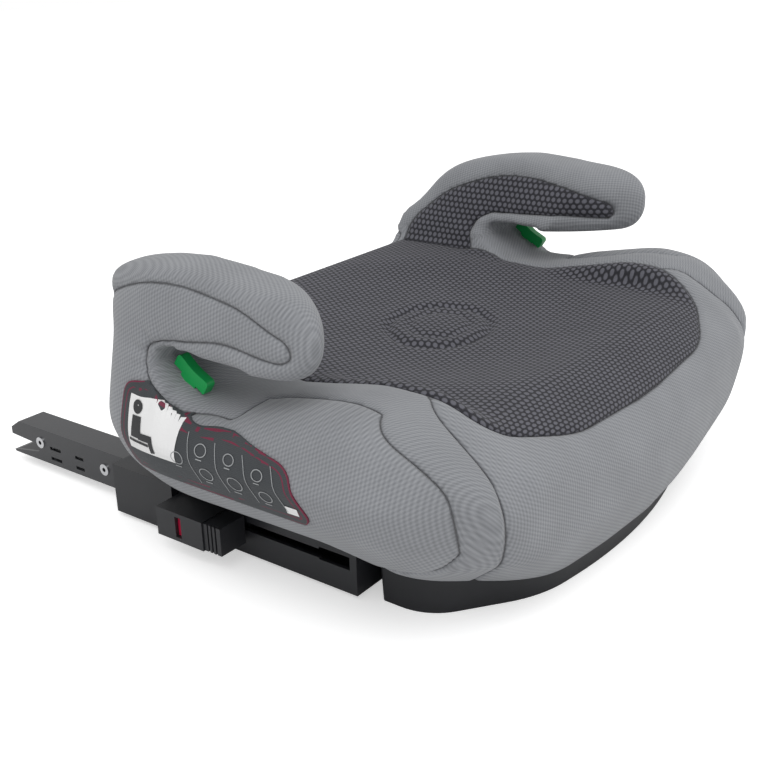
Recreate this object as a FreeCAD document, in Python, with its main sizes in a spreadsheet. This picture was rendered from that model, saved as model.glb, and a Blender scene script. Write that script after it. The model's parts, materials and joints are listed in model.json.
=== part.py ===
"""Backless child booster seat with sliding anchor connectors, as separate solids.

Millimetres, +Z up, the child faces -Y and the connectors point to +Y.  The origin is on the
middle of the flat underside of the base.  "right" and "left" are the seated child's own sides,
so right is -X.
"""
import FreeCAD, Part
import Sketcher
import math
import os
import re

from FreeCAD import Vector

# Driving dimensions, each with a name of its own.
SIZES = {
    # covered body, seen from above
    "cover_half_width": 218.0,
    "tuck_taper": 57.0,
    "hem_taper": 28.0,
    "flank_taper": 9.0,
    "arm_taper": 11.0,
    "crown_taper": 15.0,
    "front_taper": 8.0,
    "cover_front_reach": 212.0,
    "cover_back_reach": 95.0,
    "cover_front_bow": 13.0,
    "front_corner_width": 46.0,
    "front_corner_depth": 46.0,
    "front_corner_radius": 38.0,
    "tuck_softening": 12.0,
    "rear_corner_width": 62.0,
    "rear_corner_depth": 52.0,
    # covered body, seen from the side
    "side_hem_height": 52.0,
    "front_hem_height": 22.0,
    "flank_height": 75.0,
    "widest_height": 98.0,
    "crown_height": 205.0,
    "arm_top_height": 198.0,
    "arm_tip_reach": 103.0,
    "arm_underside_height": 149.0,
    "slot_floor_height": 121.0,
    "slot_end_y": 7.0,
    "bolster_crest_height": 137.0,
    "seat_back_height": 131.0,
    "seat_middle_height": 119.0,
    "seat_front_height": 104.0,
    "seat_half_width": 141.0,
    "arm_root_inner": 126.0,
    "arm_top_inner": 166.0,
    # layers
    "cover_thickness": 4.0,
    "side_foam_thickness": 8.0,
    "seat_foam_thickness": 26.0,
    "shell_wall": 3.5,
    "layer_gap": 0.2,
    "gusset_width": 17.0,
    "front_seam_depth": 24.0,
    "rear_seam_depth": 16.0,
    # base
    "base_half_width": 153.0,
    "base_front_reach": 198.0,
    "base_back_reach": 78.0,
    "foot_back_reach": 104.0,
    "core_gap": 5.0,
    "base_draft": 4.0,
    "base_wall": 3.0,
    "deck_thickness": 4.0,
    # rails and mouths
    "connector_spacing": 280.0,
    "rail_wall": 2.6,
    "rail_inner_room": 0.4,
    "rail_outer_room": 6.4,
    "rail_floor_room": 1.4,
    "rail_roof_room": 0.4,
    "rail_front": 95.0,
    "mouth_front": 50.0,
    "mouth_back": 106.0,
    "mouth_step": 6.0,
    "rail_slot_width": 6.0,
    "rail_slot_middle": 24.0,
    # connectors
    "arm_width": 22.0,
    "arm_depth": 26.0,
    "arm_bottom": 8.5,
    "arm_plate": 2.0,
    "arm_tip": 238.0,
    "arm_front": 2.0,
    "connector_travel": 85.0,
    "jaw_radius": 3.2,
    "jaw_middle_y": 210.0,
    "jaw_above_bottom": 9.5,
    "jaw_mouth_height": 12.0,
    "rivet_radius": 2.8,
    "rivet_bore": 1.6,
    "rivet_head_radius": 4.2,
    "rivet_head": 1.0,
    "hook_thickness": 4.0,
    "cross_tube_radius": 7.0,
    "cross_tube_wall": 1.5,
    "cross_tube_y": 14.0,
    # release housing
    "housing_width": 25.0,
    "housing_front": 4.0,
    "housing_back": 44.0,
    "housing_bottom": 14.0,
    "housing_top": 33.5,
    "housing_wall": 2.5,
    "window_width": 5.0,
    "window_height": 14.0,
    "window_middle_y": 25.0,
    "button_length": 14.5,
    "release_travel": 6.0,
    "running_gap": 0.3,
    # belt guides
    "guide_thickness": 6.0,
    "guide_height": 9.0,
    "guide_middle": 188.0,
    # label patch
    "label_thickness": 1.0,
    # screws
    "screw_radius": 2.0,
    "screw_head_radius": 4.0,
    "screw_head": 2.4,
    "screw_length": 13.0,
    "screw_boss": 12.0,
    "screw_boss_height": 44.0,
    "screw_inset": 28.0,
    "mouth_lug_y": 56.0,
    "mouth_lug_inset": 6.0,
}

RIVETS = ((204.0, 15.0), (134.0, 12.0), (111.0, 13.0))
STAMPED_SLOTS = ((188.0, 12.0), (161.5, 9.0))
STAMPED_SLOT_HEIGHTS = (5.0, 13.0)
BODY_SCREWS_Y = (-78.0, 30.0)
RAIL_LUGS_Y = (-72.0, 36.0)
RIB_LINES = (-104.0, 50.0)
HOOK_SWING = 25.0
HOOK_BAR_GAP = 0.2
SPRING_RADIUS = 2.6
SPRING_WIRE = 0.8
SPRING_TURNS = 5.0
FRONT_SWEEP = 420.0
FLANK_LEAN = 3.0

# Places that several pieces share, as expressions of the dimensions.
ARM_X = "connector_spacing / 2"
ARM_IN = "connector_spacing / 2 - arm_width / 2"
ARM_OUT = "connector_spacing / 2 + arm_width / 2"
ARM_TOP = "arm_bottom + arm_depth"
RAIL_IN = f"{ARM_IN} - rail_inner_room - rail_wall"
RAIL_OUT = f"{ARM_OUT} + rail_outer_room + rail_wall"
RAIL_LOW = "arm_bottom - rail_floor_room - rail_wall"
RAIL_HIGH = f"{ARM_TOP} + rail_roof_room + rail_wall"
MOUTH_OUT = f"{RAIL_OUT} + mouth_step"
HOUSING_OUT = f"{RAIL_OUT} + housing_width"
SLOT_LOW = "rail_slot_middle - rail_slot_width / 2"
SLOT_HIGH = "rail_slot_middle + rail_slot_width / 2"
TUBE_Z = "arm_bottom + arm_depth / 2"
DECK_LOW = "side_hem_height - deck_thickness"
MOUTH_LUG_X = f"{ARM_X} - mouth_lug_inset"
BODY_SCREW_X = "cover_half_width - hem_taper - screw_inset"

doc = FreeCAD.newDocument("booster_seat")
sheet = doc.addObject("Spreadsheet::Sheet", "sizes")
for row, (alias, value) in enumerate(SIZES.items(), start=1):
    sheet.set(f"A{row}", alias)
    sheet.set(f"B{row}", str(value))
    sheet.setAlias(f"B{row}", alias)
doc.recompute()

nodes = {}

def size(alias):
    """The value of a cell of the sheet, in millimetres."""
    return float(sheet.get(alias))


def formula(text):
    """An expression in which each alias is looked up in the sheet."""
    return re.sub(r"[a-z][a-z_]+", lambda word: "sizes." + word.group() if word.group() in SIZES
                  else word.group(), text)


def bind(obj, **expressions):
    """Ties properties of an object to expressions of the sheet's aliases."""
    for prop, expression in expressions.items():
        obj.setExpression(prop.replace("__", "."), formula(expression))
    return obj


# ---- solids bound to the sheet -------------------------------------------------------------

def box(name, low, high):
    """A block between two corners, each a triple of expressions."""
    block = doc.addObject("Part::Box", name)
    for side, axis, start, end in zip(("Length", "Width", "Height"), "xyz", low, high):
        bind(block, **{side: f"({end}) - ({start})", f"Placement__Base__{axis}": start})
    return block


TURNS = {"x": FreeCAD.Rotation(Vector(0, 1, 0), 90), "y": FreeCAD.Rotation(Vector(1, 0, 0), -90),
         "z": FreeCAD.Rotation()}


def rod(name, radius, length, at, along):
    """A cylinder that starts at a point and runs along +X, +Y or +Z."""
    cylinder = doc.addObject("Part::Cylinder", name)
    cylinder.Placement = FreeCAD.Placement(Vector(), TURNS[along])
    bind(cylinder, Radius=radius, Height=length)
    for axis, start in zip("xyz", at):
        bind(cylinder, **{f"Placement__Base__{axis}": start})
    return cylinder


def outline(name, plane, points):
    """A closed sketch on a plane across X, Y or Z, each corner a pair of expressions."""
    sketch = doc.addObject("Sketcher::SketchObject", name)
    turn = {"x": FreeCAD.Rotation(Vector(1, 1, 1), 120), "y": FreeCAD.Rotation(Vector(1, 0, 0), 90),
            "z": FreeCAD.Rotation()}[plane]
    sketch.Placement = FreeCAD.Placement(Vector(), turn)
    corners = [Vector(value_of(u), value_of(v), 0) for u, v in points]
    count = len(corners)
    for index, corner in enumerate(corners):
        sketch.addGeometry(Part.LineSegment(corner, corners[(index + 1) % count]), False)
    for index in range(count):
        sketch.addConstraint(Sketcher.Constraint("Coincident", index, 2, (index + 1) % count, 1))
    for index, (u, v) in enumerate(points):
        for kind, expression, value in (("DistanceX", u, corners[index].x), ("DistanceY", v, corners[index].y)):
            row = sketch.addConstraint(Sketcher.Constraint(kind, -1, 1, index, 1, value))
            sketch.setExpression(f"Constraints[{row}]", formula(expression))
    return sketch


def value_of(expression):
    """An expression worked out with the sheet's values."""
    return float(sheet.evalExpression(formula(expression)))


def prism(name, plane, points, start, end):
    """A sketched outline pushed from one expression to another along the axis across its plane."""
    sketch = outline(name + "_outline", plane, points)
    solid = doc.addObject("Part::Extrusion", name)
    solid.Base = sketch
    solid.DirMode = "Custom"
    solid.Dir = {"x": Vector(1, 0, 0), "y": Vector(0, 1, 0), "z": Vector(0, 0, 1)}[plane]
    solid.Solid = True
    bind(solid, LengthFwd=f"({end}) - ({start})")
    bind(sketch, **{f"Placement__Base__{plane}": start})
    return solid


def fuse(name, *pieces):
    """The union of some objects."""
    union = doc.addObject("Part::MultiFuse", name)
    union.Shapes = list(pieces)
    union.Refine = True
    return union


def cut(name, base, *tools):
    """An object less some others."""
    tool = tools[0] if len(tools) == 1 else fuse(name + "_tools", *tools)
    rest = doc.addObject("Part::Cut", name)
    rest.Base = base
    rest.Tool = tool
    rest.Refine = True
    return rest


def group(name, *pieces):
    """Separate solids kept together in one object."""
    compound = doc.addObject("Part::Compound", name)
    compound.Links = list(pieces)
    return compound


def free_shape(name, shape):
    """A shape made with Part's own functions from the sheet's sizes."""
    feature = doc.addObject("Part::Feature", name)
    feature.Shape = shape
    return feature


def node(name, obj):
    """Names an object as one piece of the seat."""
    obj.Label = name
    nodes[name] = obj
    return obj


SIDES = {"right": -1, "left": 1}


def across(side, near, far):
    """The low and high X expressions of a stretch on one side of the middle."""
    return (f"-({far})", f"-({near})") if side == "right" else (near, far)


def signed(side, expression):
    """An X expression on one side of the middle."""
    return f"-({expression})" if side == "right" else expression


# ---- covered body ----------------------------------------------------------------------------

def rounded(corners):
    """A closed wire through corners (point, radius), each corner an arc of that radius."""
    edges = []
    count = len(corners)
    ends = []
    for index, (corner, radius) in enumerate(corners):
        before = corners[index - 1][0]
        after = corners[(index + 1) % count][0]
        back = (before - corner).normalize()
        ahead = (after - corner).normalize()
        half = back.getAngle(ahead) / 2
        reach = radius / math.tan(half)
        start = corner + back * reach
        end = corner + ahead * reach
        if radius > 0:
            middle = (back + ahead).normalize() * (radius / math.sin(half) - radius)
            edges.append(Part.Arc(start, corner + middle, end).toShape())
        ends.append((start, end))
    for index in range(count):
        start = ends[index][1]
        end = ends[(index + 1) % count][0]
        if start.distanceToPoint(end) > 1e-6:
            edges.append(Part.LineSegment(start, end).toShape())
    return Part.Wire(Part.__sortEdges__(edges))


def mirrored(half):
    """The whole outline of a half given as (x, y, radius) from the front to the back."""
    far = [(-x, y, radius) for x, y, radius in reversed(half) if x > 0]
    return half + far


def flank_levels():
    """The flank's levels, from the ground to the crown, each a height and a half width."""
    wide = size("cover_half_width")
    tucked = wide - size("tuck_taper")
    return [
        (0.0, tucked),
        (size("front_hem_height"), tucked),
        (size("side_hem_height"), wide - size("hem_taper")),
        (size("flank_height"), wide - size("flank_taper")),
        (size("widest_height"), wide),
        (size("arm_underside_height"), wide - size("arm_taper")),
        (size("crown_height"), wide - size("crown_taper")),
    ]


def half_width_at(height):
    """Half the covered body's width at a height."""
    levels = flank_levels()
    for (low, low_width), (high, high_width) in zip(levels, levels[1:]):
        if height <= high:
            return low_width + (high_width - low_width) * (height - low) / (high - low)
    return levels[-1][1]


def plan_at(height, inset):
    """The outline at a height: fullest in the middle, and drawn in and softened under the hem."""
    rise = (height - size("front_hem_height")) / (size("side_hem_height") - size("front_hem_height"))
    tuck = 1.0 - min(1.0, max(0.0, rise))
    ease = inset + tuck * size("front_taper")
    half_width = half_width_at(height) - inset
    front = -size("cover_front_reach") + ease
    back = size("cover_back_reach") - ease
    soft = tuck * size("tuck_softening")
    wide = size("front_corner_width") + soft
    deep = size("front_corner_depth") + soft
    radius = size("front_corner_radius") + soft
    bow = size("cover_front_bow")
    half = [
        (0.0, front, FRONT_SWEEP),
        (half_width - wide, front + bow, radius),
        (half_width - FLANK_LEAN, front + bow + deep, radius + 4.0),
        (half_width, back - 1.6 * size("rear_corner_depth"), 90.0),
        (half_width - 10.0, back - 0.8 * size("rear_corner_depth"), 60.0),
        (half_width - size("rear_corner_width"), back, 60.0),
    ]
    return rounded([(Vector(x, y, height), corner) for x, y, corner in mirrored(half)])


def side_wire(x):
    """The profile of a side: bolster in front, arm above it, and the belt slot between them."""
    back = size("cover_back_reach")
    top = size("arm_top_height")
    tip = -size("arm_tip_reach")
    under = size("arm_underside_height")
    floor = size("slot_floor_height")
    slot_end = size("slot_end_y")
    crest = size("bolster_crest_height")
    front = -size("cover_front_reach")
    corners = [
        (back + 1.0, 0.0, 0.0),
        (back + 1.0, top - 46.0, 40.0),
        (back - 30.0, top - 13.0, 50.0),
        (0.0, top + 1.5, 160.0),
        (tip + 22.0, top - 6.0, 60.0),
        (tip - 1.0, top - 14.0, 20.0),
        (tip + 2.0, under - 6.0, 20.0),
        (tip + 40.0, under + 1.0, 50.0),
        (slot_end, under + 1.0, 7.0),
        (slot_end + 4.0, under - 9.0, 6.0),
        (slot_end - 24.0, floor, 14.0),
        (slot_end - 46.0, floor, 40.0),
        (tip - 12.0, crest, 60.0),
        (tip - 42.0, crest - 2.0, 40.0),
        (front + 24.0, crest - 30.0, 45.0),
        (front - 4.0, size("widest_height") - 38.0, 60.0),
        (front - 4.0, 0.0, 0.0),
    ]
    return rounded([(Vector(x, y, height), radius) for y, height, radius in corners])


def middle_wire(x):
    """The profile of the seat between the bolsters."""
    back = size("cover_back_reach")
    front = -size("cover_front_reach")
    seat_front = size("seat_front_height")
    corners = [
        (back + 1.0, 0.0, 0.0),
        (back + 1.0, size("seat_back_height"), 18.0),
        (back - 60.0, size("seat_back_height") - 1.0, 120.0),
        (front + 130.0, size("seat_middle_height"), 300.0),
        (front + 52.0, size("seat_middle_height") + 1.0, 60.0),
        (front + 14.0, seat_front, 22.0),
        (front - 4.0, seat_front - 46.0, 60.0),
        (front - 4.0, 0.0, 0.0),
    ]
    return rounded([(Vector(x, y, height), radius) for y, height, radius in corners])


def hem_cutter(level):
    """What lies under the hem, which drops to the front unless the piece ends level."""
    reach = size("cover_half_width") + 60.0
    side = size("side_hem_height")
    front = side if level else size("front_hem_height")
    turn = -size("foot_back_reach") - 6.0
    corners = [
        (size("cover_back_reach") + 60.0, -60.0),
        (size("cover_back_reach") + 60.0, side),
        (turn, side),
        (-size("cover_front_reach") + 14.0, front),
        (-size("cover_front_reach") - 60.0, front),
        (-size("cover_front_reach") - 60.0, -60.0),
    ]
    points = [Vector(-reach, y, height) for y, height in corners]
    face = Part.Face(Part.makePolygon(points + points[:1]))
    return face.extrude(Vector(2 * reach, 0, 0))


def inset_prism(wire, inset, length):
    """A profile drawn in by an inset and pushed along +X."""
    face = Part.Face(wire)
    if inset:
        face = face.makeOffset2D(-inset)
    return face.extrude(Vector(length, 0, 0))


def lean_wedge(side, inset):
    """What lies outwards of an arm's leaning inner face, drawn in by an inset."""
    low = size("seat_middle_height")
    high = size("crown_height") + 40.0
    rise = (high - low) / (size("arm_top_height") - low)
    root = size("arm_root_inner") + inset
    top = root + (size("arm_top_inner") - size("arm_root_inner")) * rise
    outside = size("cover_half_width") + 80.0
    start = size("cover_back_reach") + 40.0
    points = [Vector(side * x, start, height)
              for x, height in ((root, -40.0), (root, low), (top, high), (outside, high), (outside, -40.0))]
    face = Part.Face(Part.makePolygon(points + points[:1]))
    return face.extrude(Vector(0, -2 * start - size("cover_front_reach"), 0))


def covered_body(inset, top_inset, level=True):
    """The whole covered body, drawn in by an inset at its sides and lowered to another on the seat."""
    stack = Part.makeLoft([plan_at(height, inset) for height, _ in flank_levels()], True, True)
    middle = size("seat_half_width")
    parts = [inset_prism(middle_wire(-middle - 4.0), inset, 2 * middle + 8.0)]
    parts[0].translate(Vector(0, 0, inset - top_inset))
    for side in SIDES.values():
        span = size("cover_half_width") + 4.0 - size("arm_root_inner")
        start = size("arm_root_inner") if side > 0 else -size("cover_half_width") - 4.0
        flank = inset_prism(side_wire(start), inset, span)
        parts.append(flank.common(lean_wedge(side, inset)))
    whole = parts[0].fuse(parts[1:])
    return whole.common(stack).cut(hem_cutter(level))


def solids_over(shape, least):
    """The solids of a shape with more than a least volume, as one shape."""
    kept = [solid for solid in shape.Solids if solid.Volume > least]
    return kept[0] if len(kept) == 1 else Part.makeCompound(kept)


def slab(x_low, x_high, y_low, y_high, z_low, z_high):
    """A block of space between two corners."""
    return Part.makeBox(x_high - x_low, y_high - y_low, z_high - z_low, Vector(x_low, y_low, z_low))


TRIVIAL = 400.0
fabric = size("cover_thickness")
gap = size("layer_gap")
foam_side = fabric + size("side_foam_thickness")
foam_top = fabric + size("seat_foam_thickness")
wall = size("shell_wall")
reach = size("cover_half_width") + 20.0
depth = size("cover_front_reach") + 20.0
ceiling = size("crown_height") + 20.0
seat_edge = size("seat_half_width")

outside = covered_body(0.0, 0.0, level=False)
skin = outside.cut(covered_body(fabric, fabric, level=False))
foam = covered_body(fabric + gap, fabric + gap).cut(covered_body(foam_side, foam_top))
core = covered_body(foam_side + gap, foam_top + gap)
hollow = covered_body(foam_side + gap + wall, foam_top + gap + wall)


def flank_space(side, inset):
    """What lies outside a side seam, which follows the taper of the flank."""
    points = [Vector(side * (half_width - inset), depth, height) for height, half_width in flank_levels()]
    points.append(Vector(side * reach, depth, size("crown_height")))
    points.append(Vector(side * reach, depth, 0.0))
    face = Part.Face(Part.makePolygon(points + points[:1]))
    return face.extrude(Vector(0, -2 * depth, 0))


def guide_strip(side, grow):
    """A belt guide: a curved strip on the slot's end wall, with a tang that goes into the arm."""
    slot_end = size("slot_end_y")
    wall_top = Vector(0, slot_end + 4.0, size("arm_underside_height") - 9.0)
    wall_foot = Vector(0, slot_end - 24.0, size("slot_floor_height"))
    along = (wall_foot - wall_top).normalize()
    top = wall_top + along * 5.0
    foot = wall_foot - along * 3.0
    out = Vector(0, along.z, -along.y)
    height = size("guide_height") + grow
    base = 0.3 - grow
    start = size("guide_middle") - size("guide_thickness") / 2 - grow
    lift = Vector(side * start if side > 0 else -start - size("guide_thickness") - 2 * grow, 0, 0)
    strip = rounded([
        (top + out * base - along * grow, 0.6),
        (top + out * height - along * grow, 2.5),
        ((top + foot) * 0.5 + out * (height - 1.6), 30.0),
        (foot + out * height + along * grow, 2.5),
        (foot + out * base + along * grow, 0.6),
    ])
    middle = (top + foot) * 0.5
    half = 6.0 + grow
    tang = Part.makePolygon([
        middle + out * (base + 1.0) - along * half, middle + out * (base + 1.0) + along * half,
        middle - out * (foam_side - 0.2) + along * half, middle - out * (foam_side - 0.2) - along * half,
        middle + out * (base + 1.0) - along * half,
    ])
    push = Vector(size("guide_thickness") + 2 * grow, 0, 0)
    whole = Part.Face(strip).extrude(push).fuse(Part.Face(tang).extrude(push))
    whole.translate(lift)
    return whole


for side_name, side in SIDES.items():
    pocket = guide_strip(side, 0.3)
    skin = skin.cut(pocket)
    foam = foam.cut(pocket)

left_over = skin
for side_name, side in SIDES.items():
    space = flank_space(side, size("gusset_width"))
    node(f"side_panel_{side_name}", free_shape(f"side_panel_{side_name}",
                                               solids_over(left_over.common(space), TRIVIAL)))
    left_over = left_over.cut(space)
for side_name, side in SIDES.items():
    space = lean_wedge(side, -0.5).cut(lean_wedge(side, fabric + 0.01))
    space = space.common(slab(-reach, reach, -depth, depth, size("seat_middle_height"), ceiling))
    node(f"arm_mesh_{side_name}", free_shape(f"arm_mesh_{side_name}",
                                             solids_over(left_over.common(space), TRIVIAL)))
    left_over = left_over.cut(space)

front_line = -size("cover_front_reach") + size("front_seam_depth")
back_line = size("cover_back_reach") - size("rear_seam_depth")
PANELS = {
    "front_panel": slab(-seat_edge, seat_edge, -depth, front_line, 0.0, ceiling),
    "rear_panel": slab(-seat_edge, seat_edge, back_line, depth, 0.0, ceiling),
    "seat_mesh": slab(-seat_edge, seat_edge, front_line, back_line, size("widest_height"), ceiling),
}
for panel_name, space in PANELS.items():
    node(panel_name, free_shape(panel_name, solids_over(left_over.common(space), TRIVIAL)))
    left_over = left_over.cut(space)
GUSSETS = {
    "gusset_right": slab(-reach, 0.0, -depth, depth, 0.0, ceiling),
    "gusset_left": slab(0.0, reach, -depth, depth, 0.0, ceiling),
}
for panel_name, space in GUSSETS.items():
    node(panel_name, free_shape(panel_name, solids_over(left_over.common(space), TRIVIAL)))

foam_edge = size("seat_half_width") + 6.0
FOAMS = {
    "seat_foam": slab(-foam_edge, foam_edge, -depth, depth, 0.0, ceiling),
    "side_foam_right": slab(-reach, -foam_edge, -depth, depth, 0.0, ceiling),
    "side_foam_left": slab(foam_edge, reach, -depth, depth, 0.0, ceiling),
}
for foam_name, space in FOAMS.items():
    node(foam_name, free_shape(foam_name, solids_over(foam.common(space), TRIVIAL)))

for side_name, side in SIDES.items():
    node(f"belt_guide_{side_name}", free_shape(f"belt_guide_{side_name}", guide_strip(side, 0.0)))

label_outline = rounded([(Vector(-reach, y, height), radius) for y, height, radius in (
    (22.0, 98.0, 12.0), (20.0, 131.0, 9.0), (-2.0, 136.0, 12.0), (-34.0, 118.0, 16.0),
    (-66.0, 125.0, 16.0), (-100.0, 112.0, 12.0), (-118.0, 77.0, 5.0))])
label_space = Part.Face(label_outline).extrude(Vector(reach - size("arm_top_inner") - 26.0, 0, 0))
label = covered_body(-size("label_thickness"), 0.0).cut(outside).common(label_space)
node("label_patch", free_shape("label_patch", solids_over(label, TRIVIAL)))

# ---- rigid shell -----------------------------------------------------------------------------

seat_shell = core.cut(hollow)
boss_x = value_of(BODY_SCREW_X)
hem = size("side_hem_height")
boss_half = size("screw_boss") / 2
for side in SIDES.values():
    for y in BODY_SCREWS_Y:
        low, high = sorted((side * (boss_x - boss_half), side * (boss_x + 2.4 * boss_half)))
        boss = slab(low, high, y - boss_half, y + boss_half, hem, hem + size("screw_boss_height"))
        seat_shell = seat_shell.fuse(boss.common(core))
    for y in BODY_SCREWS_Y:
        hole = Part.makeCylinder(size("screw_radius"), size("screw_length"), Vector(side * boss_x, y, hem))
        seat_shell = seat_shell.cut(hole)
node("seat_shell", free_shape("seat_shell", solids_over(seat_shell, TRIVIAL)))

# ---- base ------------------------------------------------------------------------------------

def base_wire(height, inset):
    """The base's outline: a wide foot in front and a narrower tub behind it."""
    ease = inset + size("base_draft") * (1 - height / size("side_hem_height"))
    front = -size("base_front_reach") + ease
    foot = size("base_half_width") - ease
    tub = value_of(RAIL_IN) - size("core_gap") - inset
    step = -size("foot_back_reach") - inset
    half = [
        (0.0, front, 400.0),
        (foot - 56.0, front + 15.0, 85.0),
        (foot, front + 58.0, 36.0),
        (foot, step, 3.0),
        (tub, step, 3.0),
        (tub, size("base_back_reach") - inset, 10.0),
    ]
    return rounded([(Vector(x, y, height), radius) for x, y, radius in mirrored(half)])


base_wall = size("base_wall")
deck_low = hem - size("deck_thickness")
tub = Part.makeLoft([base_wire(0.0, 0.0), base_wire(hem, 0.0)], True, True)
room = Part.makeLoft([base_wire(base_wall, base_wall), base_wire(hem + 1.0, base_wall)], True, True)
deck_inset = foam_side + gap + wall + size("running_gap")
deck = Part.Face(plan_at(deck_low, deck_inset)).extrude(Vector(0, 0, size("deck_thickness")))
base = tub.fuse(deck).cut(room)
tube_middle = size("arm_bottom") + size("arm_depth") / 2
tube_room = size("cross_tube_radius") + 2.0
window = slab(-reach, reach, size("cross_tube_y") - size("connector_travel") - tube_room,
              size("cross_tube_y") + tube_room, tube_middle - tube_room, tube_middle + tube_room)
base = base.cut(window.common(slab(-reach, reach, -size("foot_back_reach") + 2.0, depth, 0.0, hem)))
for side in SIDES.values():
    for y in BODY_SCREWS_Y:
        base = base.cut(Part.makeCylinder(size("screw_radius") + 0.3, hem, Vector(side * boss_x, y, 0)))
    lug_places = [(size("connector_spacing") / 2, y) for y in RAIL_LUGS_Y]
    lug_places.append((value_of(MOUTH_LUG_X), size("mouth_lug_y")))
    for x, y in lug_places:
        base = base.cut(Part.makeCylinder(size("screw_radius") + 0.3, hem, Vector(side * x, y, deck_low - 2.0)))
rib_reach = value_of(RAIL_IN) - size("core_gap") - 1.0
for y in RIB_LINES:
    rib = slab(-rib_reach, rib_reach,
               y - 1.2, y + 1.2, base_wall, hem)
    base = base.fuse(rib)
base = base.removeSplitter()
node("base_shell", free_shape("base_shell", base))


# ---- rails and mouths ------------------------------------------------------------------------


def side_box(name, side, near, far, y_low, y_high, z_low, z_high):
    """A block given by its distances from the middle, on one side."""
    x_low, x_high = across(side, near, far)
    return box(f"{name}_{side}", (x_low, y_low, z_low), (x_high, y_high, z_high))


def lug_hole(name, side, x, y):
    """The pilot hole of a lug's screw."""
    return rod(f"{name}_{side}", "screw_radius", "screw_length", (signed(side, x), y,
                                                                 "side_hem_height - screw_length"), "z")


def rail(side):
    """The channel a connector slides in: open behind, slotted outside, hung from the deck."""
    body = side_box("rail_body", side, RAIL_IN, RAIL_OUT, "-rail_front", "mouth_front",
                    RAIL_LOW, RAIL_HIGH)
    lugs = [side_box(f"rail_lug_{index}", side, f"{ARM_X} - 11", f"{ARM_X} + 11", f"{y} - 9", f"{y} + 9",
                     f"{RAIL_HIGH} - rail_wall", DECK_LOW) for index, y in enumerate(RAIL_LUGS_Y)]
    room = side_box("rail_room", side, f"{RAIL_IN} + rail_wall", f"{RAIL_OUT} - rail_wall",
                    "-rail_front + rail_wall", "mouth_front + 5", f"{RAIL_LOW} + rail_wall",
                    f"{RAIL_HIGH} - rail_wall")
    slot = side_box("rail_slot", side, f"{RAIL_OUT} - 8", f"{RAIL_OUT} + 5", "-rail_front + 5", "mouth_front + 5",
                    SLOT_LOW, SLOT_HIGH)
    slot_end = side_box("rail_slot_end", side, f"{RAIL_OUT} - 8", f"{RAIL_OUT} + 5", "-rail_front + 5",
                        "-rail_front + 28", f"{SLOT_LOW} - 1", f"{SLOT_HIGH} + 1.5")
    tube_window = side_box("rail_window", side, f"{RAIL_IN} - 5", f"{RAIL_IN} + 8",
                           "cross_tube_y - connector_travel - cross_tube_radius - 2", "mouth_front + 5",
                           f"{TUBE_Z} - cross_tube_radius - 2", f"{TUBE_Z} + cross_tube_radius + 2")
    holes = [lug_hole(f"rail_hole_{index}", side, ARM_X, str(y)) for index, y in enumerate(RAIL_LUGS_Y)]
    body = fuse(f"rail_solid_{side}", body, *lugs)
    return cut(f"rail_{side}", body, room, slot, slot_end, tube_window, *holes)


def rail_mouth(side):
    """The collar behind a rail that the connector slides out of."""
    body = side_box("mouth_body", side, f"{RAIL_IN} - 2", MOUTH_OUT, "mouth_front", "mouth_back",
                    f"{RAIL_LOW} - 1", f"{RAIL_HIGH} + 1")
    lug = side_box("mouth_lug", side, f"{MOUTH_LUG_X} - 8", f"{MOUTH_LUG_X} + 8", "mouth_lug_y - 6", "mouth_lug_y + 6",
                   f"{RAIL_HIGH} - 1", DECK_LOW)
    room = side_box("mouth_room", side, f"{ARM_IN} - rivet_head - 0.5", f"{ARM_OUT} + rivet_head + 0.5",
                    "mouth_front - 5", "mouth_back + 5", "arm_bottom - running_gap", f"{ARM_TOP} + running_gap")
    body = fuse(f"mouth_solid_{side}", body, lug)
    return cut(f"rail_mouth_{side}", body, room, lug_hole("mouth_hole", side, MOUTH_LUG_X, "mouth_lug_y"))


for side in SIDES:
    node(f"rail_{side}", rail(side))
    node(f"rail_mouth_{side}", rail_mouth(side))


def screw(name, x, y, seat, up):
    """A flat-headed screw that runs up from its seat, or down from it."""
    head_z = f"{seat} - screw_head" if up else seat
    shank_z = seat if up else f"{seat} - screw_length"
    head = rod(f"{name}_head", "screw_head_radius", "screw_head", (x, y, head_z), "z")
    shank = rod(f"{name}_shank", "screw_radius", "screw_length", (x, y, shank_z), "z")
    return fuse(name, head, shank)


node("body_screws", group("body_screws", *[
    screw(f"body_screw_{side}_{index}", signed(side, BODY_SCREW_X), str(y), DECK_LOW, True)
    for side in SIDES for index, y in enumerate(BODY_SCREWS_Y)]))
node("rail_screws", group("rail_screws", *[
    screw(f"rail_screw_{side}_{index}", signed(side, x), y, "side_hem_height", False)
    for side in SIDES
    for index, (x, y) in enumerate([(ARM_X, str(y)) for y in RAIL_LUGS_Y] + [(MOUTH_LUG_X, "mouth_lug_y")])]))

# ---- connectors ------------------------------------------------------------------------------

JAW_Z = "arm_bottom + jaw_above_bottom"
PIVOT_Y, PIVOT_RISE = RIVETS[0]
PIVOT_Z = f"arm_bottom + {PIVOT_RISE}"


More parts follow.
